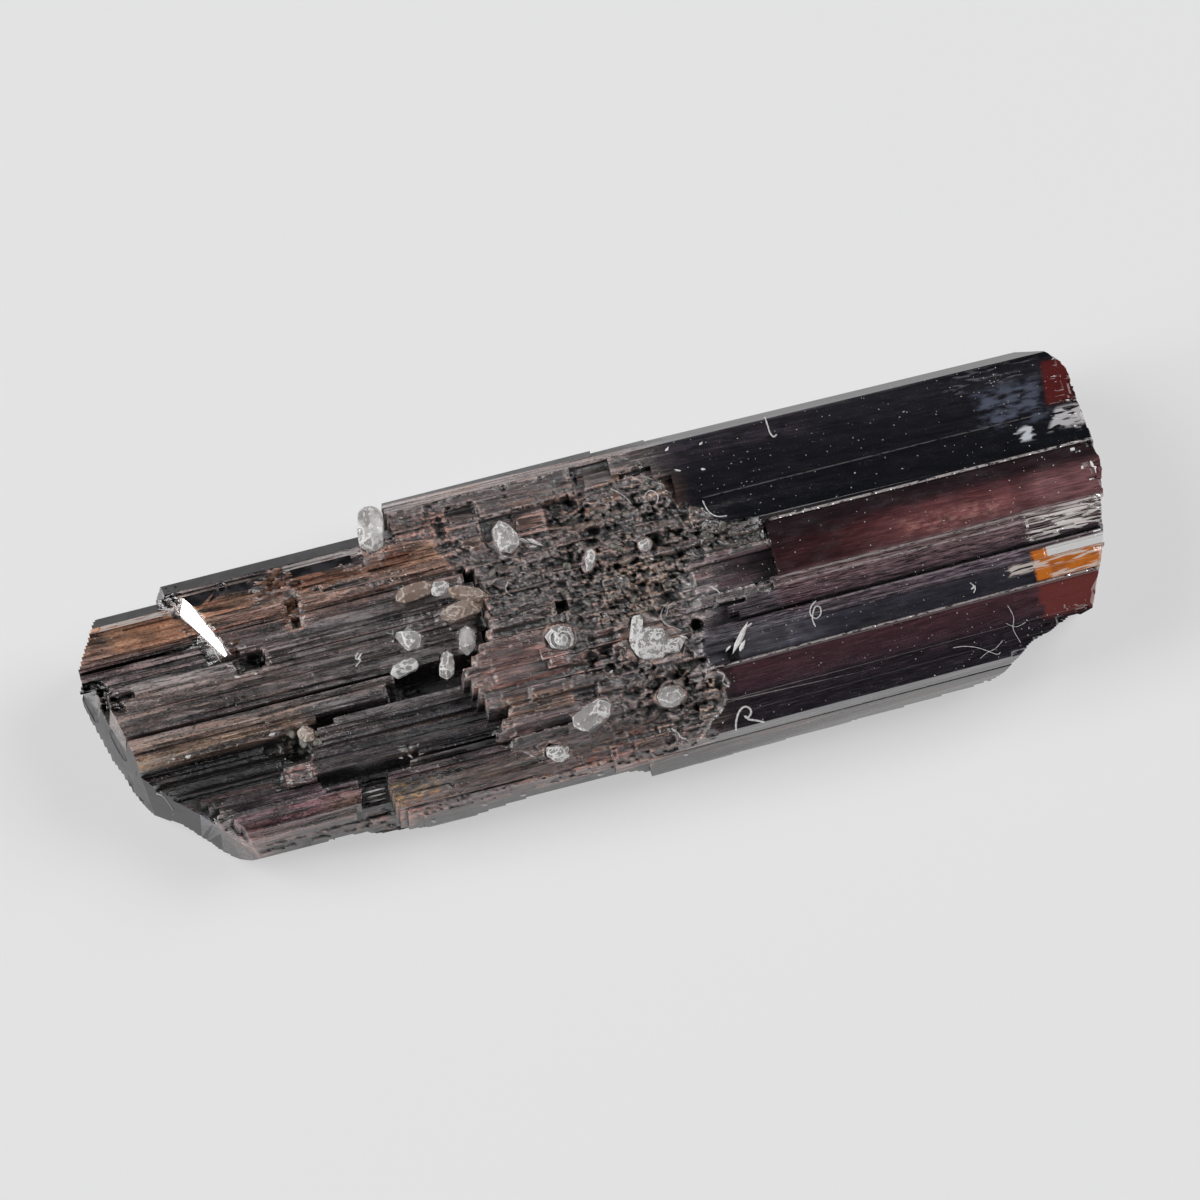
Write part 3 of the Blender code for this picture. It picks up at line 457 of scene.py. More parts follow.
    # the bright facet of the second step stays plain
    s = u - 0.46 * (v + 66)
    s_left = table(FACET_LEFT, v)
    beside = window(s, 93.5, 119, 1.0) * window(v, -67, 3, 1.0)
    bright = soft(s - s_left, -0.6, 0.6) * beside
    d = d * (1 - bright) + beside * (1 - bright) * (0.006 + 0.004 * np.clip(s_left - s, 0, 14))
    # quartz stays seated
    d = d * (1 - 0.85 * seated(ur, vr))
    # the outline
    jag = 1.6 * (fbm(u, v, 6, 6, 161, 2) - 0.3)
    worn_front = table(FRONT_EDGE, ur) - np.where(ur > 868, jag, 0.35 * jag)
    out = (vr > worn_front) & (ur > 95) | (ur > table(RIGHT_EDGE, vr) - jag) | (ur < table(LEFT_EDGE, vr) + 0.35 * jag)
    return np.where(out, 9.0, d)


TOP_LINE = [(-20, -20), (22.5, -66), (88, -66), (94, -82), (297, -82), (299, -109.5), (510, -109), (530, -107.5), (680, -103.7),
            (780, -102.5), (930, -102), (980, -100), (1020, -89), (1040, -60)]
FRONT_LINE = [(90, 190), (120, 206), (240, 207), (280, 214), (330, 217), (505, 212), (522, 215), (532, 221), (680, 219.5), (880, 212.5),
              (910, 197), (950, 179), (1000, 165)]


def in_layout(p, hit):
    """1 where the layout's view reaches a place, 0 where something hides it, softened over two cells."""
    s = np.zeros(p.shape[:2])
    for i, j in zip(*np.nonzero(hit)):
        q = CAST(Vector(p[i, j] + 12.0 * E_D), Vector(-E_D))
        s[i, j] = 1.0 if q[0] is not None and 12.0 - q[3] < 0.06 else 0.0
    near = around(s, 1, False)
    return (near + np.roll(near, 1, 0) + np.roll(near, -1, 0) + np.roll(near, 1, 1) + np.roll(near, -1, 1)) / 5


def side_depth(seed, across, rough_at=(0.0, 3.6), strength=1.0):
    """Carving for a face that the layout doesn't show: long laths, grooves and one etched stretch."""
    def depth(p, hit, h):
        ur, vr = raw_layout(p)
        inside = soft(vr - table(TOP_LINE, ur), 1.0, 9.0) * (0.25 + 0.75 * soft(table(FRONT_LINE, ur) - vr, 0.5, 6.0))
        inside = inside * (1 - 0.75 * soft(vr, 190, 198) * soft(ur, 520, 600)) * (1 - in_layout(p, hit))
        x, c = p[..., 0] / GRID, p[..., across] / GRID
        laths = bricks(x, c, 150, 7.0, seed) ** 1.3 * 0.055 + bricks(x + 20 * vnoise(x, c, 60, 9, seed + 3), c, 60, 3.6, seed + 5) * 0.02
        w = c + 1.6 * (fbm(x, c, 120, 12, seed + 9, 2) - 0.5)
        lines = np.zeros_like(x)
        r = rng(seed + 11)
        for k in range(46):
            vc, wid, dep = r.uniform(c.min(), c.max()), r.uniform(1.8, 3.4), r.uniform(0.02, 0.07)
            ua = r.uniform(x.min(), x.max())
            ub = ua + r.uniform(120, 620)
            lines = np.maximum(lines, np.clip(1 - np.abs(w - vc) / wid, 0, 1) * window(x, ua, ub, 5) * dep)
        rough = window(p[..., 0] + 1.2 * (fbm(x, c, 60, 30, seed + 21) - 0.5) * 2, rough_at[0] - rough_at[1] / 2, rough_at[0] + rough_at[1] / 2, 0.25)
        small = bricks(x + 4 * vnoise(x, c, 12, 8, seed + 23), c, 16, 5.5, seed + 25)
        pits = bowls(x, c, scatter(150, (rough_at[0] - rough_at[1] * 0.6) / GRID, (rough_at[0] + rough_at[1] * 0.6) / GRID, c.min(), c.max(),
                                   (3.5, 9), (3, 6), seed + 27))
        chips = (fbm(x, c, 22, 9, seed + 31, 2) > 0.66) * 0.05 * fbm(x, c, 8, 5, seed + 33, 2)
        return strength * inside * (laths + lines + chips + rough * (0.02 + 0.09 * small + 0.13 * pits))
    return depth


def end_depth(seed, broken):
    """Carving for the two ends: a broken end with curved steps, or worn growth faces."""
    def depth(p, hit, h):
        y, z = p[..., 1] / GRID, p[..., 2] / GRID
        steps = np.floor(5 * fbm(y, z + 0.4 * y, 70, 36, seed, 2)) / 5
        pits = bowls(y, z, scatter(70 if broken else 26, y.min(), y.max(), z.min(), z.max(), (4, 16), (4, 12), seed + 5))
        fine = np.abs(fbm(y, z, 12, 10, seed + 7, 2) - 0.5)
        ribs = 0.5 + 0.5 * np.sin((np.hypot(y - 60, z + 40)) / 3.4)
        kept_plain = 1 - in_layout(p, hit) * (raw_layout(p)[0] > 60)
        if broken:
            return 0.02 + 0.20 * steps + 0.07 * pits + 0.07 * fine + 0.02 * ribs * (fbm(y, z, 50, 50, seed + 9) > 0.5)
        return kept_plain * np.where(fbm(y, z, 60, 40, seed + 9, 2) > 0.52, 0.035 + 0.05 * pits + 0.05 * fine, 0.0)
    return depth


def axis(*v):
    v = np.array(v, float)
    return v / np.linalg.norm(v)


def arange(a, b, s):
    return np.arange(a, b, s)


ob = add_object("crystal_work", base_mesh)
X, Y, Z = np.eye(3)
along_steps = np.concatenate([arange(-26, 326, 2.1), arange(326, 704, 1.65), arange(704, 1066, 2.6)]) * GRID
counts = [
    cut(ob, sheet(E_U, E_V, E_D, CORNER, along_steps, arange(-124, 236, 1.42) * GRID, top_depth, keep="top")),
    cut(ob, sheet(X, axis(0, -0.2, 1), axis(0, 1, 0.2), 0 * X, arange(-10.3, 10.3, 0.10), arange(-0.9, 3.5, 0.050),
                  side_depth(301, 2, (1.6, 4.4)))),
    cut(ob, sheet(X, axis(0, 0.25, 1), axis(0, -1, 0.25), 0 * X, arange(-10.3, 10.3, 0.10), arange(-0.9, 1.42, 0.050),
                  side_depth(401, 2, (-1.0, 3.4)))),
    cut(ob, sheet(X, -Y, -Z, 0 * X, arange(-10.3, 10.3, 0.11), arange(-3.3, 3.3, 0.055), side_depth(501, 1, (1.2, 3.2), 0.8))),
    cut(ob, sheet(Y, Z, X, 0 * X, arange(-3.3, 3.3, 0.055), arange(-0.1, 3.6, 0.055), end_depth(601, True))),
    cut(ob, sheet(-Y, Z, -X, 0 * X, arange(-3.3, 3.3, 0.07), arange(-0.1, 2.4, 0.07), end_depth(701, False))),
]
print("carved", counts)

TRIANGLES = 188000


def report(what, b):
    print(what, "faces", len(b.faces), "open", sum(1 for e in b.edges if len(e.link_faces) == 1),
          "more than two", sum(1 for e in b.edges if len(e.link_faces) > 2))


def shells_of(bm):
    left, shells = set(bm.verts), []
    while left:
        stack, shell = [left.pop()], []
        while stack:
            v = stack.pop()
            shell.append(v)
            for e in v.link_edges:
                w = e.other_vert(v)
                if w in left:
                    left.discard(w)
                    stack.append(w)
        shells.append(shell)
    return sorted(shells, key=len)


b = bmesh.new()
b.from_mesh(ob.data)
bmesh.ops.triangulate(b, faces=b.faces)
for shell in shells_of(b)[:-1]:
    bmesh.ops.delete(b, geom=shell, context="VERTS")
report("carved", b)
n_faces = len(b.faces)
b.to_mesh(ob.data)
b.free()
if n_faces > TRIANGLES:
    mod = ob.modifiers.new("fewer", "DECIMATE")
    mod.decimate_type, mod.ratio, mod.use_collapse_triangulate = "COLLAPSE", TRIANGLES / n_faces, True
    fewer = evaluated(ob)
    ob.modifiers.remove(mod)
    ob.data = fewer
final = ob.data
b = bmesh.new()
b.from_mesh(final)
report("fewer", b)
bmesh.ops.dissolve_degenerate(b, edges=b.edges, dist=2e-5)
bmesh.ops.triangulate(b, faces=b.faces)
for turn in range(3):
    doubled = {f for e in b.edges if len(e.link_faces) > 2 for f in sorted(e.link_faces, key=lambda f: f.calc_area())[:len(e.link_faces) - 2]}
    if doubled:
        bmesh.ops.delete(b, geom=list(doubled), context="FACES_ONLY")
    loose = [e for e in b.edges if not e.link_faces]
    if loose:
        bmesh.ops.delete(b, geom=loose, context="EDGES")
    border = [e for e in b.edges if len(e.link_faces) == 1]
    if border:
        made = bmesh.ops.holes_fill(b, edges=border, sides=0)
        bmesh.ops.triangulate(b, faces=made["faces"])
bmesh.ops.delete(b, geom=[v for v in b.verts if not v.link_faces], context="VERTS")
for shell in shells_of(b)[:-1]:
    bmesh.ops.delete(b, geom=shell, context="VERTS")
report("final", b)
b.to_mesh(final)
b.free()

# How etched each place is, and how deep it lies under the solid's own face, for the material, which darkens the deep
# places as painted shade.
pts = np.array([v.co for v in final.vertices], float)
lu, lv = to_layout(pts)
rough_here = np.clip(np.maximum(etched(lu, lv) * (1 - 0.55 * np.maximum(calm_ground(lu, lv), flats(lu, lv))), ragged_ground(lu, lv) * (lu < 420)), 0, 1)
deep = np.zeros(len(pts))
seen = np.zeros(len(pts))
nrm = np.array([v.normal for v in final.vertices], float)
down, far = Vector(-E_D), 12.0
for k in range(len(pts)):
    hit = CAST(Vector(pts[k] + far * E_D), down)
    if hit[0] is not None:
        deep[k] = far - hit[3]
        hollow = lu[k] < 26 and -2 < lv[k] < 34 and pts[k, 2] > 0.55
        seen[k] = 1.0 if far - hit[3] < (2.2 if hollow else 0.62) else 0.0


def blur(a, r):
    """Mean over a square of 2 r + 1 cells."""
    for ax in (0, 1):
        q = np.concatenate([np.repeat(a.take([0], ax), r + 1, ax), a, np.repeat(a.take([-1], ax), r, ax)], ax).cumsum(ax)
        a = (q.take(range(2 * r + 1, q.shape[ax]), ax) - q.take(range(0, q.shape[ax] - 2 * r - 1), ax)) / (2 * r + 1)
    return a


A, B, height, inside = kept["top"]
ru, rv = raw_layout(pts)
fa = np.interp(ru * GRID, A, np.arange(len(A)))
fb = np.interp(rv * GRID, B, np.arange(len(B)))


def on_grid(g):
    i, j = np.minimum(fa.astype(int), len(A) - 2), np.minimum(fb.astype(int), len(B) - 2)
    a, b = fa - i, fb - j
    return (g[i, j] * (1 - a) + g[i + 1, j] * a) * (1 - b) + (g[i, j + 1] * (1 - a) + g[i + 1, j + 1] * a) * b


own_height = pts @ E_D - float(CORNER @ E_D)


def rise(r):
    """How far each place stands above the mean of its surroundings."""
    m = inside.astype(float)
    for turn in range(2):
        mean = blur(height * m, r) / np.maximum(blur(m, r), 1e-6) if turn == 0 else blur(mean, max(1, r // 2))
    return np.clip(own_height - on_grid(mean), -0.8, 0.8)


# rise and bend drive the material's painted shade in hollows and painted highlights on raised places and convex edges
rise_small, rise_large = rise(2) * seen, rise(7) * seen


def convex(me, rounds=1):
    """Per vertex: how sharply the surface bends outwards (above 0) or inwards."""
    n = len(me.vertices)
    co, no = np.zeros(3 * n), np.zeros(3 * n)
    me.vertices.foreach_get("co", co)
    me.vertices.foreach_get("normal", no)
    co, no = co.reshape(-1, 3), no.reshape(-1, 3)
    e = np.zeros(2 * len(me.edges), int)
    me.edges.foreach_get("vertices", e)
    i, j = e.reshape(-1, 2).T
    d = co[i] - co[j]
    length = np.maximum(np.linalg.norm(d, axis=1), 1e-9)
    d /= length[:, None]
    many = np.maximum(np.bincount(i, minlength=n) + np.bincount(j, minlength=n), 1)
    c = (np.bincount(i, (d * no[i]).sum(1), n) - np.bincount(j, (d * no[j]).sum(1), n)) / many
    for _ in range(rounds):
        c = 0.5 * c + 0.5 * (np.bincount(i, c[j], n) + np.bincount(j, c[i], n)) / many
    return c


bend = convex(final)
uw = lu + 3 * vnoise(lu, lv, 9, 6, 5)
vw = lv + 2.4 * vnoise(lu, lv, 8, 8, 6)
lump = stone_field(uw, vw)[1]
lath_own = bricks(lu + 4 * vnoise(lu, lv, 30, 3, 8), lv, 42, 3.4, 25)
# Darker and lighter stretches of the stepped half and the middle: from u, to u, from v, to v, edge, share. The darkest,
# at the tip's hollow and along the channel, are painted shade; the lighter one along the front edge, from u 285 to 520,
# is painted reflection of the floor.
STRETCHES = [(496, 600, -62, -18, 10, -0.48), (408, 506, -24, 46, 10, -0.46), (520, 604, 0, 62, 10, -0.18),
             (596, 692, -12, 24, 6, -0.30), (478, 540, 56, 134, 8, -0.22), (335, 402, -100, -64, 6, -0.16),
             (34, 118, -52, -27, 4, 0.24), (8, 128, -11, 8, 2, 0.42), (158, 330, -10, 9, 2, 0.42), (44, 206, 61, 83, 3, -0.26),
             (206, 292, 59, 81, 3, -0.20), (88, 168, 134, 151, 3, -0.34), (116, 242, 160, 186, 3, -0.16),
             (112, 242, 188, 206, 3, -0.20), (285, 520, 189, 214, 4, 0.20),
             (30, 176, 96, 134, 3, -0.55), (50, 112, 128, 204, 4, -0.25), (-10, 22, -8, 28, 2, -0.85), (168, 202, 120, 144, 2, -0.25),
             (130, 298, -84, -64, 4, -0.22)]
shade = np.ones(len(pts))
wob = 10 * (fbm(lu, lv, 14, 6, 171, 2) - 0.5)
for u0, u1, v0, v1, edge, share in STRETCHES:
    shade *= 1 + share * box(lu + wob, lv + 0.3 * wob, u0, u1, v0, v1, edge)
print("rise", np.percentile(rise_small, [2, 20, 50, 80, 98]).round(3), np.percentile(rise_large, [2, 20, 50, 80, 98]).round(3),
      "bend", np.percentile(bend, [2, 20, 50, 80, 98]).round(3))
for name, values in (("rough_here", rough_here * seen), ("deep", np.clip(deep, 0, 0.6) * seen), ("seen", seen), ("rise_small", rise_small),
                     ("rise_large", rise_large), ("bend", bend), ("lump", lump), ("lath_own", lath_own), ("shade", shade)):
    a = final.attributes.new(name, "FLOAT", "POINT")
    a.data.foreach_set("value", values.astype(np.float32))
final.transform(Matrix.Scale(MM, 4))
final.set_sharp_from_angle(angle=math.radians(34))
corner = np.zeros(3 * len(final.polygons), int)
final.polygons.foreach_get("vertices", corner)
face_rough = rough_here[corner.reshape(-1, 3)].mean(1)
face_area = np.zeros(len(final.polygons))
final.polygons.foreach_get("area", face_area)
final.polygons.foreach_set("use_smooth", (face_rough > 0.35) & (face_area < 0.004 * MM * MM))
ob.name = "rutile_prism"
final.name = "rutile_prism"
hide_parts("rutile_crystal")
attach(ob, "root")


# ---------------------------------------------------------------- node materials
def lin(*c):
    """A linear colour from one given as 0 to 255."""
    return tuple((x / 255 / 12.92 if x / 255 <= 0.04045 else ((x / 255 + 0.055) / 1.055) ** 2.4) for x in c) + (1.0,)


class Nodes:
    """Short words for building a material's nodes."""

    def __init__(self, name):
        self.m = bpy.data.materials.new(name)
        self.m.use_nodes = True
        self.t = self.m.node_tree
        self.p = self.t.nodes["Principled BSDF"]
        self.k = 0

    def node(self, kind, **kw):
        n = self.t.nodes.new(kind)
        self.k += 1
        n.location = (-300 - 180 * (self.k // 12), 300 - 160 * (self.k % 12))
        for a, v in kw.items():
            setattr(n, a, v)
        return n

    def put(self, sock, value):
        if isinstance(value, bpy.types.NodeSocket):
            self.t.links.new(value, sock)
        elif isinstance(value, (tuple, list)) and len(value) == 4 and sock.type == "VECTOR":
            sock.default_value = value[:3]
        else:
            sock.default_value = value

    def f(self, op, a, b=0.0, c=0.0, clamp=False):
        n = self.node("ShaderNodeMath", operation=op, use_clamp=clamp)
        for s, x in zip(n.inputs, (a, b, c)):
            self.put(s, x)
        return n.outputs[0]

    def add(self, *xs):
        r = xs[0]
        for x in xs[1:]:
            r = self.f("ADD", r, x)
        return r

    def sub(self, a, b):
        return self.f("SUBTRACT", a, b)

    def mul(self, *xs):
        r = xs[0]
        for x in xs[1:]:
            r = self.f("MULTIPLY", r, x)
        return r

    def mx(self, a, b):
        return self.f("MAXIMUM", a, b)

    def clamp(self, a):
        return self.f("ADD", a, 0.0, clamp=True)

    def step(self, x, lo, hi):
        n = self.node("ShaderNodeMapRange", interpolation_type="SMOOTHSTEP")
        self.put(n.inputs["Value"], x)
        n.inputs["From Min"].default_value, n.inputs["From Max"].default_value = lo, hi
        return n.outputs[0]

    def lerp(self, x, lo, hi, a, b, clamp=False):
        n = self.node("ShaderNodeMapRange", clamp=clamp)
        self.put(n.inputs["Value"], x)
        for s, q in (("From Min", lo), ("From Max", hi), ("To Min", a), ("To Max", b)):
            n.inputs[s].default_value = q
        return n.outputs[0]

    def band(self, x, a, b, e):
        return self.mul(self.step(x, a - e, a + e), self.f("SUBTRACT", 1.0, self.step(x, b - e, b + e)))

    def area(self, u, v, u0, u1, v0, v1, e=2.0):
        return self.mul(self.band(u, u0, u1, e), self.band(v, v0, v1, e))

    def xyz(self, x, y, z):
        n = self.node("ShaderNodeCombineXYZ")
        for s, q in zip(n.inputs, (x, y, z)):
            self.put(s, q)
        return n.outputs[0]

    def noise(self, vec, detail=2.0, rough=0.5, dist=0.0, scale=1.0):
        n = self.node("ShaderNodeTexNoise")
        self.put(n.inputs["Vector"], vec)
        n.inputs["Scale"].default_value = scale
        n.inputs["Detail"].default_value = detail
        n.inputs["Roughness"].default_value = rough
        n.inputs["Distortion"].default_value = dist
        return n.outputs["Fac"]

    def voronoi(self, vec, out="Distance", feature="F1", rand=1.0, scale=1.0):
        n = self.node("ShaderNodeTexVoronoi", feature=feature)
        self.put(n.inputs["Vector"], vec)
        n.inputs["Scale"].default_value = scale
        n.inputs["Randomness"].default_value = rand
        return n.outputs[out]

    def ramp(self, x, lo, hi, stops, mode="LINEAR"):
        """A colour ramp on x from lo to hi; stops are (x, (r, g, b) as 0 to 255)."""
        n = self.node("ShaderNodeValToRGB")
        self.put(n.inputs[0], self.lerp(x, lo, hi, 0.0, 1.0))
        cr = n.color_ramp
        cr.interpolation = mode
        while len(cr.elements) < len(stops):
            cr.elements.new(0.5)
        for e, (q, c) in zip(cr.elements, sorted(stops)):
            e.position = (q - lo) / (hi - lo)
            e.color = lin(*c)
        return n.outputs[0]

    def mix(self, a, b, f, blend="MIX"):
        n = self.node("ShaderNodeMix", data_type="RGBA", blend_type=blend)
        self.put(n.inputs["Factor"], f)
        self.put(n.inputs["A"], a)
        self.put(n.inputs["B"], b)
        return n.outputs["Result"]

    def mix_(self, a, b, f, blend="MIX"):
        n = self.node("ShaderNodeMix", data_type="RGBA", blend_type=blend)
        self.put(n.inputs[0], f)
        self.put(n.inputs[6], a)
        self.put(n.inputs[7], b)
        return n.outputs[2]

    def attr(self, name):
        return self.node("ShaderNodeAttribute", attribute_name=name, attribute_type="GEOMETRY").outputs["Fac"]

    def bump(self, height, distance, strength=1.0, normal=None):
        n = self.node("ShaderNodeBump")
        n.inputs["Strength"].default_value = strength
        n.inputs["Distance"].default_value = distance
        self.put(n.inputs["Height"], height)
        if normal is not None:
            self.put(n.inputs["Normal"], normal)
        return n.outputs[0]


def layout_nodes(N):
    """u, v and depth towards the camera's side, in steps, from the object's own place."""
    tc = N.node("ShaderNodeTexCoord").outputs["Object"]
    sep = N.node("ShaderNodeSeparateXYZ")
    N.put(sep.inputs[0], tc)
    x, y, z = sep.outputs
    narrow = N.f("SUBTRACT", 1.0, N.mul(N.f("MAXIMUM", N.f("SUBTRACT", N.mul(x, 1000.0), TAPER_FROM), 0.0), TAPER))
    y = N.f("DIVIDE", y, narrow)
    out = []
    for e, zero in ((E_U, MID), (E_V, 0.0), (E_D, 0.0)):
        k = e * 1000.0 / GRID
        off = zero - float(ORIGIN @ e) / GRID
        out.append(N.add(N.mul(x, float(k[0])), N.mul(y, float(k[1])), N.mul(z, float(k[2])), off))
    return out, tc


# ---------------------------------------------------------------- rutile
def rutile_material():
    N = Nodes("rutile")
    N.mix = N.mix_
    (u, v, w), tc = layout_nodes(N)
    rough, deep, seen = N.attr("rough_here"), N.attr("deep"), N.attr("seen")
    rise1, rise2, bend = N.attr("rise_small"), N.attr("rise_large"), N.attr("bend")
    lump, lath_own = N.attr("lump"), N.attr("lath_own")

    u0_, v0_, w0_ = u, v, w

    def cells(su, sv, sw, off=0.0):
        return N.xyz(N.add(N.mul(u0_, 1 / su), off), N.add(N.mul(v0_, 1 / sv), off), N.mul(w0_, 1 / sw))

    def field(su, sv, sw, off=0.0, detail=2.0, rgh=0.5, dist=0.0):
        return N.noise(cells(su, sv, sw, off), detail, rgh, dist)

    def after(x, *values):
        """The same values, but worked out no sooner than x: it keeps few of them waiting at a time."""
        late = N.mul(x, 1e-6)
        return [N.add(value, late) for value in values]

    streak = field(90, 1.4, 1.4, 3.0, 3.0, 0.62)
    streak_wide = field(140, 4.2, 4.2, 9.0, 2.0, 0.5)
    patch = field(26, 11, 11, 21.0, 3.0, 0.6)
    mottled = field(9, 5, 5, 33.0, 3.0, 0.6)
    grain = field(2.6, 1.8, 1.8, 51.0, 2.0, 0.6)
    wv = N.add(v, N.mul(N.sub(field(60, 9, 9, 5.0), 0.5), 4.0))
    wu = N.add(u, N.mul(N.sub(field(14, 6, 6, 15.0), 0.5), 24.0))

    u, v = after(streak, u, v)

    # the smooth half, across; the light strips at the back edge (v -110 to -98.5) and the front edge (v 199 to 222) are
    # painted reflection of the pale floor
    smooth = N.ramp(N.add(v, N.mul(N.sub(field(60, 9, 9, 5.0), 0.5), 2.0)), -112, 224, [
        (-110, (96, 94, 97)), (-98.5, (88, 86, 90)), (-96, (40, 38, 43)), (-70, (30, 28, 33)), (-44, (22, 21, 26)), (0, (15, 15, 19)),
        (4, (38, 24, 27)), (17, (42, 27, 30)), (27, (78, 44, 46)), (40, (102, 62, 63)), (56, (88, 56, 58)), (60, (100, 86, 86)), (70, (84, 68, 70)),
        (86, (66, 52, 57)), (91, (28, 24, 28)), (95, (86, 74, 80)), (105, (70, 62, 68)), (110, (38, 36, 43)), (130, (30, 29, 35)), (134, (62, 38, 42)),
        (156, (54, 36, 41)), (170, (44, 34, 40)), (196, (40, 36, 42)), (199, (100, 97, 100)), (205, (84, 82, 86)), (222, (112, 109, 112)),
    ])
    # painted glow: the red band is brighter towards the right end, as from light shining through the crystal
    glow_u = N.ramp(wu, 690, 1040, [(690, (120, 110, 112)), (760, (136, 118, 118)), (800, (200, 190, 188)), (850, (255, 250, 248)), (1030, (255, 255, 255))])
    glow_band = N.mul(N.band(v, 18, 58, 5), N.step(u, 690, 700))
    smooth = N.mix(smooth, N.mix(smooth, glow_u, 1.0, "MULTIPLY"), glow_band)
    smooth = N.mix(smooth, lin(138, 96, 98), N.mul(0.65, N.area(wu, wv, 965, 1045, 24, 56, 9)))
    smooth = N.mix(smooth, lin(142, 104, 96), N.mul(0.5, N.area(wu, wv, 830, 930, 36, 52, 7), N.step(mottled, 0.45, 0.6)))
    fade = N.mul(N.band(v, 98, 128, 3), N.f("SUBTRACT", 1.0, N.step(wu, 680, 750)))
    smooth = N.mix(smooth, lin(78, 77, 84), N.mul(0.8, fade))
    smooth = N.mix(smooth, lin(58, 50, 60), N.mul(0.6, N.area(wu, wv, 600, 760, -98, -76, 8), N.step(patch, 0.42, 0.58)))

    # the stepped half, across; the dips at v -19 and v 57 are painted shade in grooves, and the near-black stretch from
    # v 95 to 130 is painted shade in the channel
    stepped = N.ramp(wv, -92, 222, [
        (-84, (112, 104, 102)), (-70, (106, 96, 94)), (-62, (116, 92, 80)), (-52, (140, 106, 86)), (-38, (128, 98, 82)), (-27, (112, 88, 78)),
        (-19, (92, 76, 74)), (-9, (102, 92, 92)), (8, (100, 92, 93)), (16, (104, 92, 88)), (40, (98, 86, 82)), (57, (72, 64, 63)), (60, (92, 80, 76)),
        (72, (112, 94, 84)), (84, (128, 104, 84)), (91, (124, 98, 76)), (95, (32, 25, 26)), (104, (24, 19, 20)), (130, (18, 15, 16)), (138, (66, 50, 50)),
        (150, (72, 60, 64)), (165, (96, 78, 84)), (176, (84, 64, 66)), (190, (112, 94, 90)), (206, (108, 90, 84)),
    ])
    dark_laths = N.ramp(v, 60, 222, [
        (60, (94, 86, 84)), (82, (78, 72, 72)), (100, (66, 62, 64)), (130, (60, 56, 59)), (140, (40, 37, 40)), (152, (52, 45, 48)),
        (160, (86, 72, 74)), (174, (88, 74, 66)), (190, (88, 74, 70)), (206, (110, 96, 90)),
    ])
    beyond = N.mul(N.step(wu, 198, 214), N.step(v, 66, 72))
    stepped = N.mix(stepped, dark_laths, beyond)
    greyed = N.mul(N.band(v, -12, 84, 3), N.band(wu, 205, 420, 18))
    stepped = N.mix(stepped, lin(88, 83, 84), N.mul(0.5, greyed))
    stepped = N.mix(stepped, lin(150, 108, 80), N.mul(0.5, N.area(wu, wv, 36, 122, -52, -27, 5)))
    stepped = N.mix(stepped, lin(132, 84, 64), N.mul(0.6, N.area(wu, wv, 205, 345, -64, -44, 5)))
    stepped = N.mix(stepped, lin(120, 88, 76), N.mul(0.45, N.area(wu, wv, 120, 300, -44, -12, 8), N.step(patch, 0.42, 0.58)))

    # the etched middle: every stone and lath has its own colour
    warm = N.ramp(lump, 0.0, 1.0, [(0.0, (44, 34, 32)), (0.22, (70, 52, 48)), (0.45, (98, 76, 70)), (0.62, (112, 90, 84)), (0.8, (118, 88, 62)), (1.0, (142, 122, 108))])
    cool = N.ramp(lump, 0.0, 1.0, [(0.0, (46, 43, 46)), (0.35, (76, 70, 73)), (0.7, (104, 97, 99)), (1.0, (130, 124, 126))])
    etched_c = N.mix(warm, cool, N.step(patch, 0.46, 0.58))
    laths_c = N.ramp(lath_own, 0.0, 1.0, [(0.0, (44, 36, 38)), (0.3, (72, 62, 64)), (0.6, (98, 84, 84)), (0.85, (122, 100, 90)), (1.0, (136, 124, 122))])
    lathy = N.f("SUBTRACT", 1.0, N.step(wu, 440, 500))
    lathy = N.mx(lathy, N.area(wu, wv, 590, 700, -10, 130, 8))
    etched_c = N.mix(etched_c, laths_c, N.mul(0.85, lathy))
    etched_c = N.mix(etched_c, lin(122, 92, 84), N.mul(0.75, N.area(wu, wv, 378, 472, 60, 101, 5)))
    etched_c = N.mix(etched_c, lin(124, 70, 54), N.mul(0.6, N.area(wu, wv, 378, 440, 60, 84, 6), N.step(mottled, 0.46, 0.58)))
    etched_c = N.mix(etched_c, lin(110, 88, 64), N.mul(0.7, N.area(wu, wv, 398, 470, 110, 131, 3)))
    etched_c = N.mix(etched_c, lin(96, 80, 82), N.mul(0.7, N.area(wu, wv, 405, 470, 134, 153, 3)))
    etched_c = N.mix(etched_c, lin(104, 98, 100), N.mul(0.8, N.area(wu, wv, 428, 585, -108, -88, 4)))
    etched_c = N.mix(etched_c, lin(122, 72, 54), N.mul(0.6, N.area(wu, wv, 322, 392, -88, -50, 5)))
    etched_c = N.mix(etched_c, lin(88, 50, 36), N.mul(0.7, N.area(wu, wv, 486, 532, -72, -40, 6)))
    etched_c = N.mix(etched_c, lin(110, 96, 98), N.mul(0.7, N.area(wu, wv, 454, 486, -68, -42, 3)))
    etched_c = N.mix(etched_c, lin(128, 102, 66), N.mul(0.55, N.area(wu, wv, 525, 600, 8, 62, 12), N.step(mottled, 0.40, 0.54)))
    etched_c = N.mix(etched_c, lin(126, 78, 50), N.mul(0.6, N.area(wu, wv, 445, 548, 168, 200, 8), N.step(mottled, 0.44, 0.56)))

    # halves and middle together
    side = N.step(wu, 560, 640)
    base = N.mix(stepped, smooth, side)
    base = N.mix(base, etched_c, N.step(rough, 0.2, 0.7))
    base = N.mix(base, lin(84, 80, 85), N.mul(0.55, N.area(wu, wv, 590, 694, 24, 122, 6)))
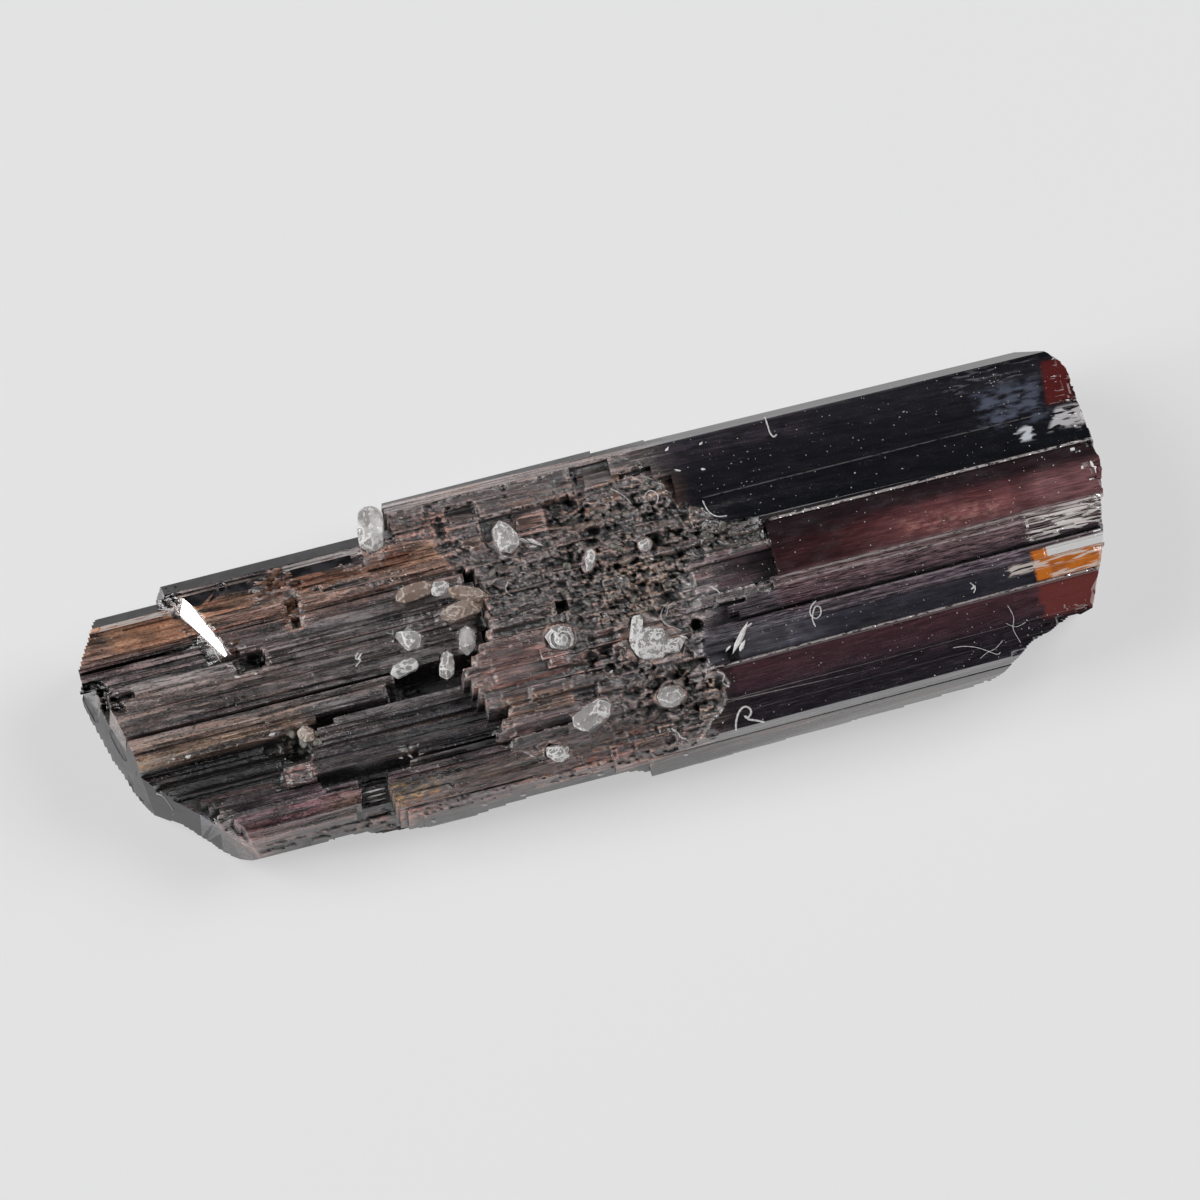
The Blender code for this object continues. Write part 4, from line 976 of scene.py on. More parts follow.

    # the termination face at the left, then painted shade: the tip's black hollow and the black channel
    sliver = N.mul(N.f("SUBTRACT", 1.0, N.step(N.sub(u, N.mul(0.55, v)), -22, -12)), N.band(v, 20, 205, 6))
    slope = N.mul(sliver, N.f("SUBTRACT", 1.0, N.step(N.sub(u, N.f("MULTIPLY", v, 0.30)), 12, 20)))
    base = N.mix(base, lin(46, 48, 54), N.mul(0.9, slope))
    base = N.mix(base, lin(34, 27, 29), N.mul(0.9, sliver, N.step(v, 126, 146), N.sub(1.0, N.area(wu, wv, 76, 94, 146, 170, 3))))
    base = N.mix(base, lin(64, 66, 74), N.mul(0.7, N.area(wu, wv, 74, 96, 146, 172, 3)))
    tip_u = N.sub(u, N.mul(0.6, N.sub(v, 8.0)))
    shaded_tip_hollow = N.mul(N.sub(1.0, N.step(tip_u, 20, 28)), N.band(v, -7, 28, 2))
    base = N.mix(base, lin(13, 11, 13), N.mul(0.95, shaded_tip_hollow))
    # painted shade: the channel from u 30 to 176 is near black
    base = N.mix(base, lin(11, 8, 9), N.mul(0.92, N.area(wu, wv, 30, 176, 97, 133, 4)))
    base = N.mix(base, lin(52, 32, 30), N.mul(0.7, N.area(wu, wv, 34, 66, 100, 111, 3)))
    # the step facet in the notch, painted light grey in stripes as a painted highlight, the glassy brown lump below it,
    # and golden ground beside it
    stripes = N.f("SINE", N.mul(v, 2 * math.pi / 3.4))
    base = N.mix(base, lin(176, 174, 172), N.mul(0.9, N.area(u, v, 240, 266, 165, 179, 1.2), N.step(stripes, -0.5, 0.4)))
    base = N.mix(base, lin(104, 98, 98), N.mul(0.6, N.area(wu, wv, 240, 264, 181, 200, 3)))
    base = N.mix(base, lin(122, 82, 70), N.mul(0.7, N.area(wu, wv, 254, 300, 193, 213, 4)))
    base = N.mix(base, lin(150, 120, 76), N.mul(0.7, N.area(wu, wv, 270, 322, 165, 190, 4), N.step(mottled, 0.42, 0.54)))
    base = N.mix(base, lin(128, 104, 100), N.mul(0.85, N.area(u, v, 168, 202, 120, 146, 2)))
    # the lumpy brown places of the second step
    base = N.mix(base, lin(104, 68, 50), N.mul(0.75, N.mx(N.area(wu, wv, 196, 234, -74, -40, 4), N.area(wu, wv, 208, 228, -40, -6, 3))))
    # the grooved end of the second step: light and dark stripes along its grooves, painted light and painted shade of
    # the ribs
    ribs = N.f("SINE", N.mul(N.sub(u, N.mul(0.45, v)), 2 * math.pi / 9.0))
    end_piece = N.area(u, v, 86, 112, -82, -61, 2)
    base = N.mix(base, lin(150, 148, 150), N.mul(0.8, end_piece, N.step(ribs, 0.2, 0.6)))
    base = N.mix(base, lin(24, 22, 24), N.mul(0.85, end_piece, N.step(ribs, 0.2, -0.2)))

    # each lath has its own tone; light and dark places are one factor on the colour, among them painted shade in
    # hollows and painted highlights on raised places and edges
    clean = N.mul(side, N.f("SUBTRACT", 1.0, N.step(rough, 0.1, 0.5)))
    coarse = N.f("SUBTRACT", 1.0, clean)
    lath = N.node("ShaderNodeSeparateColor")
    N.put(lath.inputs[0], N.voronoi(N.xyz(N.mul(u, 1 / 130), N.mul(wv, 1 / 3.8), N.mul(w, 1 / 3.8)), "Color"))
    tone, hue, gloss = lath.outputs
    u, v, wu, wv = after(tone, u, v, wu, wv)
    uneven = N.lerp(clean, 0.0, 1.0, 1.0, 0.30)
    plainly = N.mul(N.sub(1.0, side), N.sub(1.0, N.step(rough, 0.25, 0.6)))  # the plain laths of the stepped half
    soft_left = N.lerp(plainly, 0.0, 1.0, 1.0, 0.42)
    calmer = N.sub(1.0, N.mul(0.75, N.area(wu, wv, 30, 125, -54, -26, 3)))
    lath_edge = N.voronoi(N.xyz(N.mul(u, 1 / 130), N.mul(wv, 1 / 3.8), N.mul(w, 1 / 3.8)), "Distance", "DISTANCE_TO_EDGE")
    base = N.mix(base, N.mix(base, lin(160, 104, 76), 1.0, "OVERLAY"), N.mul(0.30, uneven, N.step(hue, 0.6, 0.9)))
    fine_lines = N.mul(N.lerp(clean, 0.0, 1.0, 1.0, 0.45), soft_left, calmer)
    lined = N.mul(clean, N.mx(N.band(v, 58, 107, 2), N.mul(0.6, N.band(v, 164, 222, 3))))
    # painted highlight: the crests of the etched ground, where they stand above their surroundings
    crest_highlight = N.mul(coarse, N.step(rise1, 0.012, 0.034), N.step(grain, 0.36, 0.54))
    gain = N.attr("shade")

    def shares():
        """Light and dark places, one after the other: how much each changes the colour, and where."""
        yield -0.66, N.mul(uneven, calmer, N.step(tone, 0.44, 0.10))
        yield 1.05, N.mul(uneven, calmer, N.lerp(plainly, 0.0, 1.0, 1.0, 0.6), N.step(tone, 0.62, 0.98))
        yield -0.62, N.mul(plainly, calmer, N.step(lath_edge, 0.07, 0.0))
        yield -0.30, N.mul(plainly, N.step(mottled, 0.48, 0.34))
        yield 0.30, N.mul(plainly, N.step(mottled, 0.54, 0.68))
        yield 0.35, N.mul(plainly, N.step(grain, 0.56, 0.70))
        yield -0.80, N.mul(fine_lines, N.step(streak, 0.49, 0.37))
        yield 1.15, N.mul(fine_lines, N.step(streak, 0.56, 0.68))
        yield -0.50, N.mul(uneven, N.step(streak_wide, 0.48, 0.36))
        yield 0.45, N.mul(coarse, N.step(streak_wide, 0.54, 0.66))
        yield 1.10, N.mul(lined, N.step(streak, 0.53, 0.66))
        yield -0.70, N.mul(lined, N.step(streak, 0.48, 0.38))
        yield 0.30, N.mul(coarse, N.step(patch, 0.52, 0.68))
        yield -0.40, N.mul(N.lerp(clean, 0.0, 1.0, 1.0, 0.4), N.step(patch, 0.46, 0.30))
        # painted shade in deep pits and in places lower than their surroundings, painted highlight on raised places,
        # crests and convex edges, painted shade in concave ones
        yield -0.60, N.step(deep, 0.13, 0.36)
        yield -0.88, N.step(rise2, -0.010, -0.09)
        yield 0.35, N.mul(coarse, N.step(rise2, 0.02, 0.09))
        yield -0.82, N.mul(coarse, N.step(rise1, -0.002, -0.030))
        yield 1.30, N.mul(crest_highlight, N.lerp(rough, 0.0, 1.0, 0.45, 1.0))
        yield 0.90, N.mul(coarse, N.step(bend, 0.16, 0.36))
        yield -0.60, N.mul(coarse, N.step(bend, -0.08, -0.32))
        yield -0.45, N.mul(N.lerp(clean, 0.0, 1.0, 1.0, 0.2), N.step(grain, 0.48, 0.32))
        # the first of these lightens the red band further as part of its painted glow
        yield 0.46, N.mul(side, N.area(wu, v, 700, 945, 18, 58, 4))
        yield 0.56, N.mul(side, N.area(wu, v, 690, 955, 62, 91, 2))
        yield 0.34, N.mul(side, N.area(wu, v, 690, 945, 94, 106, 2))
        yield 0.62, N.mul(side, N.area(wu, v, 690, 945, 108, 130, 2))
        yield 0.72, N.mul(side, N.area(wu, v, 630, 945, 134, 163, 3))
        yield -0.18, N.mul(side, N.area(wu, v, 640, 1000, -112, -98, 1))

    for amount, where in shares():
        gain = N.mul(gain, N.f("MULTIPLY_ADD", where, amount, 1.0))
    # bare rutile is browner than the light on it
    base = N.mix(base, (1.0, 0.89, 0.875, 1.0), N.mul(rough, N.sub(1.0, side)), "MULTIPLY")
    base = N.mix(base, (1.05, 0.86, 0.83, 1.0), N.mx(N.area(wu, wv, 112, 520, 184, 216, 4), N.mx(N.area(wu, wv, 398, 540, 56, 134, 8), N.area(wu, wv, 112, 242, 160, 186, 4))), "MULTIPLY")
    gain = N.f("MINIMUM", gain, 3.2)
    level = N.node("ShaderNodeCombineColor")
    for channel in list(level.inputs)[:3]:
        N.put(channel, gain)
    base = N.mix(base, level.outputs[0], 1.0, "MULTIPLY")
    # painted highlight: a pale colour on the crests
    base = N.mix(base, lin(196, 178, 164), N.mul(0.30, rough, crest_highlight))
    # light laths of the lowest step
    light = N.mix(base, lin(176, 170, 166), 0.62)
    # painted reflection: the light strip from v -58 to -53, where the sloping back lath mirrors the floor
    base = N.mix(base, lin(196, 190, 186), N.mul(0.85, N.area(wu, v, 30, 104, -58.0, -53.2, 0.8), N.step(field(30, 2.0, 2.0, 75.0), 0.36, 0.46)))
    base = N.mix(base, light, N.mul(N.area(wu, v, 44, 140, 7.5, 15.5, 1.2), N.step(streak, 0.44, 0.54)))
    base = N.mix(base, lin(178, 172, 170), N.mul(0.8, N.area(wu, v, 220, 298, -71.5, -65, 1.0), N.step(field(30, 2.0, 2.0, 77.0), 0.36, 0.46)))
    base = N.mix(base, lin(190, 184, 178), N.mul(0.55, N.area(wu, wv, 40, 206, 83.5, 91, 1.5), N.step(field(4, 2.2, 2.2, 79.0), 0.52, 0.60)))

    # white lines along the ridges and striae of the smooth half, broken up by noise
    ridge_line_breaks = N.step(field(6, 2, 2, 71.0, 2.0), 0.34, 0.50)
    for v0, u0, wd, s in ((1.6, 700, 1.15, 0.85), (131.8, 590, 0.95, 0.75), (60.2, 690, 0.9, 0.45), (67.5, 690, 0.7, 0.5), (-35.5, 640, 0.7, 0.16),
                          (92.9 + 1.6, 720, 0.55, 0.4), (103.5, 640, 0.5, 0.25), (204, 540, 0.5, 0.35)):
        line = N.mul(s, N.band(v, v0 - wd, v0 + wd, 0.55), N.step(u, u0, u0 + 8), ridge_line_breaks)
        base = N.mix(base, lin(198, 190, 188), line)

    # the right end: the bright orange patch is painted glow of light shining through the broken end
    base = N.mix(base, lin(206, 116, 34), N.mul(0.92, N.area(N.add(u, N.mul(N.sub(mottled, 0.5), 10.0)), v, 946, 1017, 99, 129.5, 1.6)))
    base = N.mix(base, lin(138, 66, 20), N.mul(0.6, N.area(wu, wv, 950, 1016, 112, 128, 6), N.step(patch, 0.44, 0.58)))
    base = N.mix(base, lin(128, 62, 56), N.mul(0.8, N.area(wu, v, 944, 1013, 134, 168, 4)))
    base = N.mix(base, lin(92, 30, 26), N.mul(0.92, N.area(N.add(u, N.mul(v, 0.12)), v, 994, 1022, -88, -43, 3)))
    # painted reflection: a thin plate inside the crystal catching the light, painted white
    white = N.area(u, v, 962, 1024, 98, 108, 1.3)
    base = N.mix(base, lin(240, 236, 232), N.mul(0.95, white, N.step(field(14, 3, 3, 81.0), 0.24, 0.36)))
    streaky = N.mul(N.area(wu, wv, 950, 1036, 60, 88, 4), N.step(field(60, 2.2, 2.2, 91.0, 1.0, 0.4), 0.47, 0.53))
    base = N.mix(base, lin(226, 220, 216), N.mul(0.9, streaky))
    low_streak = N.mul(N.mx(N.area(wu, wv, 920, 1018, 108.5, 118, 2), N.area(wu, wv, 960, 1016, 124, 129, 1.5)), N.step(field(32, 2, 2, 95.0, 1.0), 0.43, 0.52))
    base = N.mix(base, lin(214, 202, 194), N.mul(0.85, low_streak))
    chipped = N.mul(N.area(N.add(u, N.mul(v, 0.6)), v, 984, 1024, -38, -16, 3), N.step(field(16, 4, 6, 101.0, 1.0), 0.42, 0.52))
    base = N.mix(base, lin(206, 202, 204), N.mul(0.85, chipped))
    bloom = N.mul(N.area(wu, wv, 932, 998, -74, -30, 10), N.step(field(18, 9, 9, 111.0, 2.0), 0.40, 0.66))
    base = N.mix(base, lin(104, 110, 128), N.mul(0.62, bloom))
    base = N.mix(base, lin(216, 218, 226), N.mul(0.9, N.area(wu, wv, 967, 977, -27, -12, 2.5)))
    high = N.mul(N.area(wu, wv, 905, 1000, -96, -76, 6), N.step(field(16, 3.5, 3.5, 121.0, 2.0), 0.56, 0.64))
    base = N.mix(base, lin(120, 118, 126), N.mul(0.5, high))

    # faces that the layout doesn't show: dark, streaked, with brown and violet laths
    hidden = N.ramp(field(150, 6, 6, 131.0, 3.0), 0.3, 0.7, [(0.32, (26, 22, 25)), (0.46, (52, 42, 44)), (0.56, (84, 66, 60)), (0.68, (64, 58, 66))])
    hidden = N.mix(hidden, lin(112, 88, 70), N.mul(0.5, N.step(patch, 0.52, 0.66)))
    hidden = N.mix(hidden, lin(6, 5, 6), N.mul(0.7, N.step(streak, 0.52, 0.36)))
    hidden = N.mix(hidden, lin(150, 140, 138), N.mul(0.35, N.step(streak, 0.58, 0.72)))
    # painted highlight on convex edges and painted shade in creases
    hidden = N.mix(hidden, lin(190, 178, 170), N.mul(0.35, N.step(bend, 0.14, 0.34)))
    hidden = N.mix(hidden, lin(6, 5, 6), N.mul(0.6, N.step(bend, -0.08, -0.3)))
    hidden = N.mix(hidden, N.mix(hidden, lin(120, 60, 50), 0.5), N.step(u, 985, 1035))
    base = N.mix(hidden, base, N.step(seen, 0.3, 0.8))

    # specks of dust, some on every face
    cell = cells(7.5, 7.5, 7.5)
    dist = N.voronoi(cell)
    pick = N.node("ShaderNodeSeparateColor")
    N.put(pick.inputs[0], N.voronoi(cell, "Color"))
    speck = N.mul(N.step(dist, 0.13, 0.07), N.step(pick.outputs[0], 0.72, 0.76))
    base = N.mix(base, lin(176, 170, 166), N.mul(0.75, speck))
    speck2 = N.mul(N.step(N.voronoi(cells(3.6, 3.6, 3.6)), 0.17, 0.09), N.step(patch, 0.42, 0.6))
    base = N.mix(base, lin(150, 142, 138), N.mul(0.25, speck2))

    base = N.mix(base, (1.35, 1.35, 1.35, 1.0), 1.0, "MULTIPLY")
    N.put(N.p.inputs["Base Color"], N.mix(base, (0.94, 0.93, 0.92, 1.0), 1.0, "DARKEN"))
    rgh = N.add(0.12, N.mul(0.26, rough), N.mul(0.10, N.step(patch, 0.4, 0.7)), N.mul(0.14, N.sub(1.0, side), gloss), N.mul(0.3, speck))
    s_ = N.sub(u, N.mul(0.46, N.add(v, 66.0)))
    s_left = N.mx(N.lerp(v, -68, -50, 117, 100.8, True), N.lerp(v, -50, 2, 100.8, 110.5, True))
    flash = N.mul(N.step(N.sub(s_, s_left), -0.6, 0.6), N.sub(1.0, N.step(s_, 117.2, 118.6)), N.band(v, -67, 2, 0.8))
    glossy = N.mx(shaded_tip_hollow, sliver)
    rgh = N.mul(rgh, N.sub(1.0, N.mul(0.5, glossy)))
    N.put(N.p.inputs["Roughness"], N.clamp(N.mul(rgh, N.lerp(flash, 0.0, 1.0, 1.0, 0.45))))
    N.p.inputs["IOR"].default_value = 2.6
    quiet = N.mul(N.f("SUBTRACT", 1.0, N.mul(0.92, flash)), N.lerp(clean, 0.0, 1.0, 1.0, 0.10), N.sub(1.0, N.mul(0.8, glossy)))
    fine = N.bump(N.mul(streak, quiet), 2.4e-5, 0.6)
    lumpy = N.bump(N.mul(field(4.0, 2.6, 2.6, 141.0, 2.0, 0.5), N.add(0.05, rough), quiet), 2.6e-5, 0.8, fine)
    N.put(N.p.inputs["Normal"], lumpy)
    return N.m


def dull_face_material():
    """The flat end faces and the back strip: a lower IOR and less bright than the laths, near black where the shade
    attribute is low, at the tip's hollow, as painted shade.
    """
    N = Nodes("rutile_dull_face")
    tc = N.node("ShaderNodeTexCoord").outputs["Object"]
    mm = N.node("ShaderNodeVectorMath", operation="SCALE")
    N.put(mm.inputs[0], tc)
    mm.inputs["Scale"].default_value = 1000.0
    n1 = N.noise(mm.outputs[0], 2.0, 0.5, 0.0, 4.0)
    grey = N.mix_(lin(24, 23, 26), lin(58, 56, 60), N.step(n1, 0.38, 0.64))
    # painted shade: near black where the shade attribute is low, at the tip's hollow
    N.put(N.p.inputs["Base Color"], N.mix_(lin(10, 9, 10), grey, N.attr("shade")))
    N.put(N.p.inputs["Roughness"], N.lerp(n1, 0.2, 0.8, 0.28, 0.42))
    N.p.inputs["IOR"].default_value = 1.5
    return N.m


final.materials.clear()
final.materials.append(rutile_material())
final.materials.append(dull_face_material())
tri = corner.reshape(-1, 3)
face_u, face_v = lu[tri].mean(1), lv[tri].mean(1)
face_n = np.zeros(3 * len(final.polygons))
final.polygons.foreach_get("normal", face_n)
face_n = face_n.reshape(-1, 3)
end_face = (face_n[:, 0] < -0.25) & (face_u - 0.55 * face_v < -8) & (face_u < 120) & (face_v > -6) & (face_v < 212)
back_strip = (face_n[:, 1] > 0.25) & (face_v < -58) & (face_u < 300)
final.polygons.foreach_set("material_index", (end_face | back_strip).astype(int))


# ---------------------------------------------------------------- quartz
def crystal_material(name, colour, rough, haze, transmission, absorb=None, base=None):
    """Clear or frosted quartz: plain transmission, with scratches and a grain of its own."""
    N = Nodes(name)
    tc = N.node("ShaderNodeTexCoord").outputs["Object"]
    mm = N.node("ShaderNodeVectorMath", operation="SCALE")
    N.put(mm.inputs[0], tc)
    mm.inputs["Scale"].default_value = 1000.0
    mm = mm.outputs[0]
    n1 = N.noise(mm, 3.0, 0.6, 0.4, 5.0)
    n2 = N.noise(mm, 3.0, 0.6, 0.2, 22.0)
    N.put(N.p.inputs["Base Color"], N.mix_(lin(*colour), lin(*haze), N.step(n1, 0.40, 0.62)))
    N.put(N.p.inputs["Roughness"], N.clamp(N.add(rough, N.mul(0.14, N.step(n2, 0.50, 0.66)))))
    N.p.inputs["Transmission Weight"].default_value = transmission
    N.p.inputs["IOR"].default_value = 1.54
    scratch = N.bump(N.voronoi(mm, "Distance", "F1", 1.0, 16.0), 5e-6, 0.3)
    N.put(N.p.inputs["Normal"], N.bump(n2, 6e-6, 0.4, scratch))
    return N.m


CLEAR = crystal_material("quartz_clear", (236, 232, 230), 0.03, (252, 250, 248), 0.66)
FROST = crystal_material("quartz_frosted", (250, 247, 244), 0.26, (255, 254, 252), 0.10)
SMOKE = crystal_material("smoky_clear", (182, 158, 144), 0.05, (206, 188, 176), 0.42)
SMOKE_RIM = crystal_material("smoky_frosted", (204, 186, 172), 0.26, (226, 214, 204), 0.10)


def refined(b, longest):
    bmesh.ops.triangulate(b, faces=b.faces)
    for turn in range(6):
        long = [e for e in b.edges if e.calc_length() > longest]
        if not long:
            break
        bmesh.ops.subdivide_edges(b, edges=long, cuts=1)
        bmesh.ops.triangulate(b, faces=b.faces)


# name: (planes that chip it, how far they cut, dents, dent radius in mm, waviness in mm, share of frosted faces)
GRAIN_LOOKS = {
    "quartz_plate": (5, 0.05, 3, 0.10, 0.010, 0.26), "quartz_oval": (22, 0.07, 5, 0.07, 0.012, 0.36), "quartz_bead": (16, 0.12, 8, 0.06, 0.014, 0.55),
    "quartz_chip_back": (12, 0.12, 6, 0.05, 0.012, 0.45), "quartz_chip_mid": (10, 0.12, 4, 0.04, 0.010, 0.45),
    "quartz_left_upper": (14, 0.14, 5, 0.07, 0.012, 0.30), "quartz_left_lower": (12, 0.10, 5, 0.06, 0.012, 0.62),
    "quartz_left_tall": (14, 0.10, 5, 0.06, 0.012, 0.36), "quartz_glassy": (12, 0.12, 6, 0.07, 0.012, 0.06),
    "quartz_curl": (14, 0.12, 5, 0.06, 0.014, 0.50), "quartz_cluster": (14, 0.09, 12, 0.06, 0.018, 0.60),
    "quartz_long": (12, 0.07, 6, 0.06, 0.012, 0.26), "quartz_pale": (14, 0.10, 12, 0.07, 0.014, 0.14), "quartz_front": (16, 0.12, 14, 0.06, 0.018, 0.55),
    "smoky_point_left": (8, 0.05, 6, 0.06, 0.010, 0.30), "smoky_point_upper": (10, 0.07, 8, 0.07, 0.012, 0.30),
    "smoky_point_lower": (10, 0.07, 8, 0.07, 0.012, 0.30), "quartz_bead_front": (16, 0.14, 10, 0.06, 0.014, 0.30),
}


def grain_piece(name, seed):
    """The visible form of one grain: its solid, bevelled, chipped, dented and roughened, never larger than the solid."""
    planes, bite, dents, dent, wave, frosted = GRAIN_LOOKS[name]
    r = rng(seed)
    b = bmesh.new()
    b.from_mesh(frame["nodes"][name].data)
    bmesh.ops.remove_doubles(b, verts=b.verts, dist=2e-7)
    bmesh.ops.scale(b, vec=(1000, 1000, 1000), verts=b.verts)
    bmesh.ops.dissolve_limit(b, angle_limit=0.03, verts=b.verts, edges=b.edges)
    bmesh.ops.bevel(b, geom=b.edges[:], offset=0.016, segments=2, profile=0.6, affect="EDGES", clamp_overlap=True)
    refined(b, 0.034)
    b.normal_update()
    co = np.array([v.co for v in b.verts], float)
    no = np.array([v.normal for v in b.verts], float)
    mid = co.mean(0)
    gu, gv = raw_layout(co)
    if name == "quartz_plate":  # its two pointed ends are broken square
        q = co - mid
        _, _, ax = np.linalg.svd(q[:: max(1, len(q) // 400)], full_matrices=False)
        t = q @ ax[0]
        lim = np.abs(t).max() * 0.80
        over = np.sign(t) * np.maximum(np.abs(t) - lim, 0) * 0.93
        co = co - over[:, None] * ax[0]
    size = np.ptp(co, axis=0).max()
    for k in range(planes):  # chips: flat breaks at random slants
        d = r.normal(size=3)
        d /= np.linalg.norm(d)
        s = (co - mid) @ d
        reach = s.max()
        lim = reach - bite * size * r.uniform(0.1, 1.0)
        co = co - np.maximum(s - lim, 0)[:, None] * d
    for k in range(dents):
        c = co[r.integers(len(co))]
        rad = dent * r.uniform(0.6, 1.4)
        q = np.linalg.norm(co - c, axis=1) / rad
        co = co - (np.clip(1 - q * q, 0, 1) * rad * 0.30)[:, None] * no
    a, c = co @ np.array([1.0, 0.31, 0.2]) / 0.055, co @ np.array([-0.2, 1.0, 0.4]) / 0.045
    wavy = np.abs(fbm(a + 40, c + 40, 1.0, 1.0, seed + 5, 3) - 0.5) * 2
    co = co - (0.45 * wave * wavy)[:, None] * no
    if name == "quartz_curl":  # a groove that curls into it
        gu, gv = raw_layout(co)
        ang = np.arctan2(gv - 67, gu - 473)
        rad = np.hypot(gu - 473, gv - 67)
        spiral = np.abs(rad - (4.0 + 3.4 * np.mod(ang + 2.4, 2 * math.pi) / math.pi)) < 1.6
        co = co - 0.075 * (spiral & (no @ E_D > 0.2))[:, None] * E_D
    for v, p in zip(b.verts, co):
        v.co = p
    me = bpy.data.meshes.new(name + "_grain")
    b.to_mesh(me)
    b.free()
    bent = convex(me, 1)
    f_verts = np.zeros(3 * len(me.polygons), int)
    me.polygons.foreach_get("vertices", f_verts)
    f_verts = f_verts.reshape(-1, 3)
    centre = co[f_verts].mean(1)
    patchy = fbm(centre @ np.array([1.0, 0.3, 0.5]) / 0.09 + 60, centre @ np.array([-0.3, 1.0, 0.4]) / 0.07 + 60, 1.0, 1.0, seed + 11, 2)
    # the frosted faces go on the convex rims: partly frosting, partly a painted highlight for the bright outlines of
    # the grains
    rim = bent[f_verts].mean(1)
    score = 0.45 * patchy + 4.5 * np.clip(rim, -0.02, 0.12)
    cut_at = np.quantile(score, 1 - frosted)
    me.polygons.foreach_set("material_index", (score > cut_at).astype(np.int32))
    me.transform(Matrix.Scale(MM, 4))
    me.polygons.foreach_set("use_smooth", np.ones(len(me.polygons), bool))
    me.set_sharp_from_angle(angle=math.radians(28))
    return me


for k, name in enumerate(GRAINS):
    me = grain_piece(name, 900 + 17 * k)
    smoky = name.startswith("smoky") or name == "quartz_bead_front"
    for m_ in ((SMOKE, SMOKE_RIM) if smoky else (CLEAR, FROST)):
        me.materials.append(m_)
    o = add_object(name + "_grain", me)
    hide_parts(name)
    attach(o, "root")

# ---------------------------------------------------------------- what lies loose on it: fibres, dust, slivers
tree_v, tree_f = [], []
for o in [ob] + [bpy.data.objects[n + "_grain"] for n in GRAINS]:
    base_i = len(tree_v)
    tree_v += [tuple(1000 * c for c in v.co) for v in o.data.vertices]
    tree_f += [tuple(base_i + i for i in f.vertices) for f in o.data.polygons]
TOP = BVHTree.FromPolygons(tree_v, tree_f)


def land(u, v):
    """The crystal's surface at a layout place, and the way it faces, in mm."""
    start = CORNER + u * GRID * E_U + v * GRID * E_V + 12 * E_D
    hit = TOP.ray_cast(Vector(start), Vector(-E_D))
    return (None, None) if hit[0] is None else (np.array(hit[0]), np.array(hit[1]))


def catmull(points, steps=7):
    p = [points[0]] + list(points) + [points[-1]]
    out = []
    for i in range(1, len(p) - 2):
        for k in range(steps):
            t = k / steps
            a_, b_, c_, d_ = (np.array(q, float) for q in p[i - 1:i + 3])
            out.append(0.5 * (2 * b_ + (c_ - a_) * t + (2 * a_ - 5 * b_ + 4 * c_ - d_) * t * t + (3 * b_ - a_ - 3 * c_ + d_) * t ** 3))
    out.append(np.array(points[-1], float))
    return out


def tube(b, pts, radius, sides=6):
    """A closed thin tube along points in mm, its ends tapering."""
    rings = []
    for i, p in enumerate(pts):
        t = pts[min(i + 1, len(pts) - 1)] - pts[max(i - 1, 0)]
        t = t / max(np.linalg.norm(t), 1e-9)
        n1 = np.cross(t, E_D)
        n1 /= max(np.linalg.norm(n1), 1e-9)
        n2 = np.cross(n1, t)
        rr = radius * (0.35 if i in (0, len(pts) - 1) else 1.0) * (1 + 0.18 * math.sin(i * 1.7))
        rings.append([b.verts.new(p + rr * (math.cos(a_) * n1 + math.sin(a_) * n2)) for a_ in (2 * math.pi * j / sides for j in range(sides))])
    for r0, r1 in zip(rings, rings[1:]):
        for j in range(sides):
            b.faces.new((r0[j], r0[(j + 1) % sides], r1[(j + 1) % sides], r1[j]))
    b.faces.new(rings[0][::-1])
    b.faces.new(rings[-1])


FIBRES = [  # points in the layout, radius in mm
    ([(723.5, -99), (724, -90), (724.5, -82), (727, -77.5), (730.5, -79)], 0.013),
    ([(618, 198), (620, 190), (625, 181), (631, 177), (636, 179), (637, 184), (633, 188), (630, 186), (633, 190), (640, 193), (648, 197)], 0.0175),
    ([(727, 92), (721, 96), (718, 103), (722, 109), (728, 106), (729, 99), (724, 98), (719, 108), (720, 117)], 0.0125),
    ([(848, 171), (858, 172), (870, 176), (880, 182), (889, 188), (893, 187)], 0.006),
    ([(872, 188), (880, 184), (889, 182), (898, 176)], 0.0045),
    ([(911, 143), (914, 156), (911, 168), (915, 183)], 0.0055), ([(905, 160), (914, 166), (925, 164)], 0.0045),
    ([(662, -12), (652, -14), (645, -21), (642, -33)], 0.011),
    ([(586, -50), (591, -55), (597, -54), (600, -48), (597, -41)], 0.011),
    ([(556, -67), (563, -61), (569, -54), (572, -47)], 0.009),
    ([(614, 136), (620, 141), (617, 148), (622, 154)], 0.012),
    ([(556, 180), (561, 186), (563, 191), (568, 194)], 0.013),
    ([(584, 57), (577, 62), (573, 70), (576, 78), (583, 83), (590, 88)], 0.008), ([(590, 58), (583, 62), (579, 69)], 0.008),
    ([(434, -2), (430, 4), (431, 9), (435, 13)], 0.012),
    ([(627, 52), (633, 56), (636, 62)], 0.012), ([(272, 30), (268, 35), (272, 38), (266, 43)], 0.012),
    ([(880, 112), (884, 118), (881, 123)], 0.010), ([(42, 117), (48, 121), (51, 128), (54, 137)], 0.009),
]
b = bmesh.new()
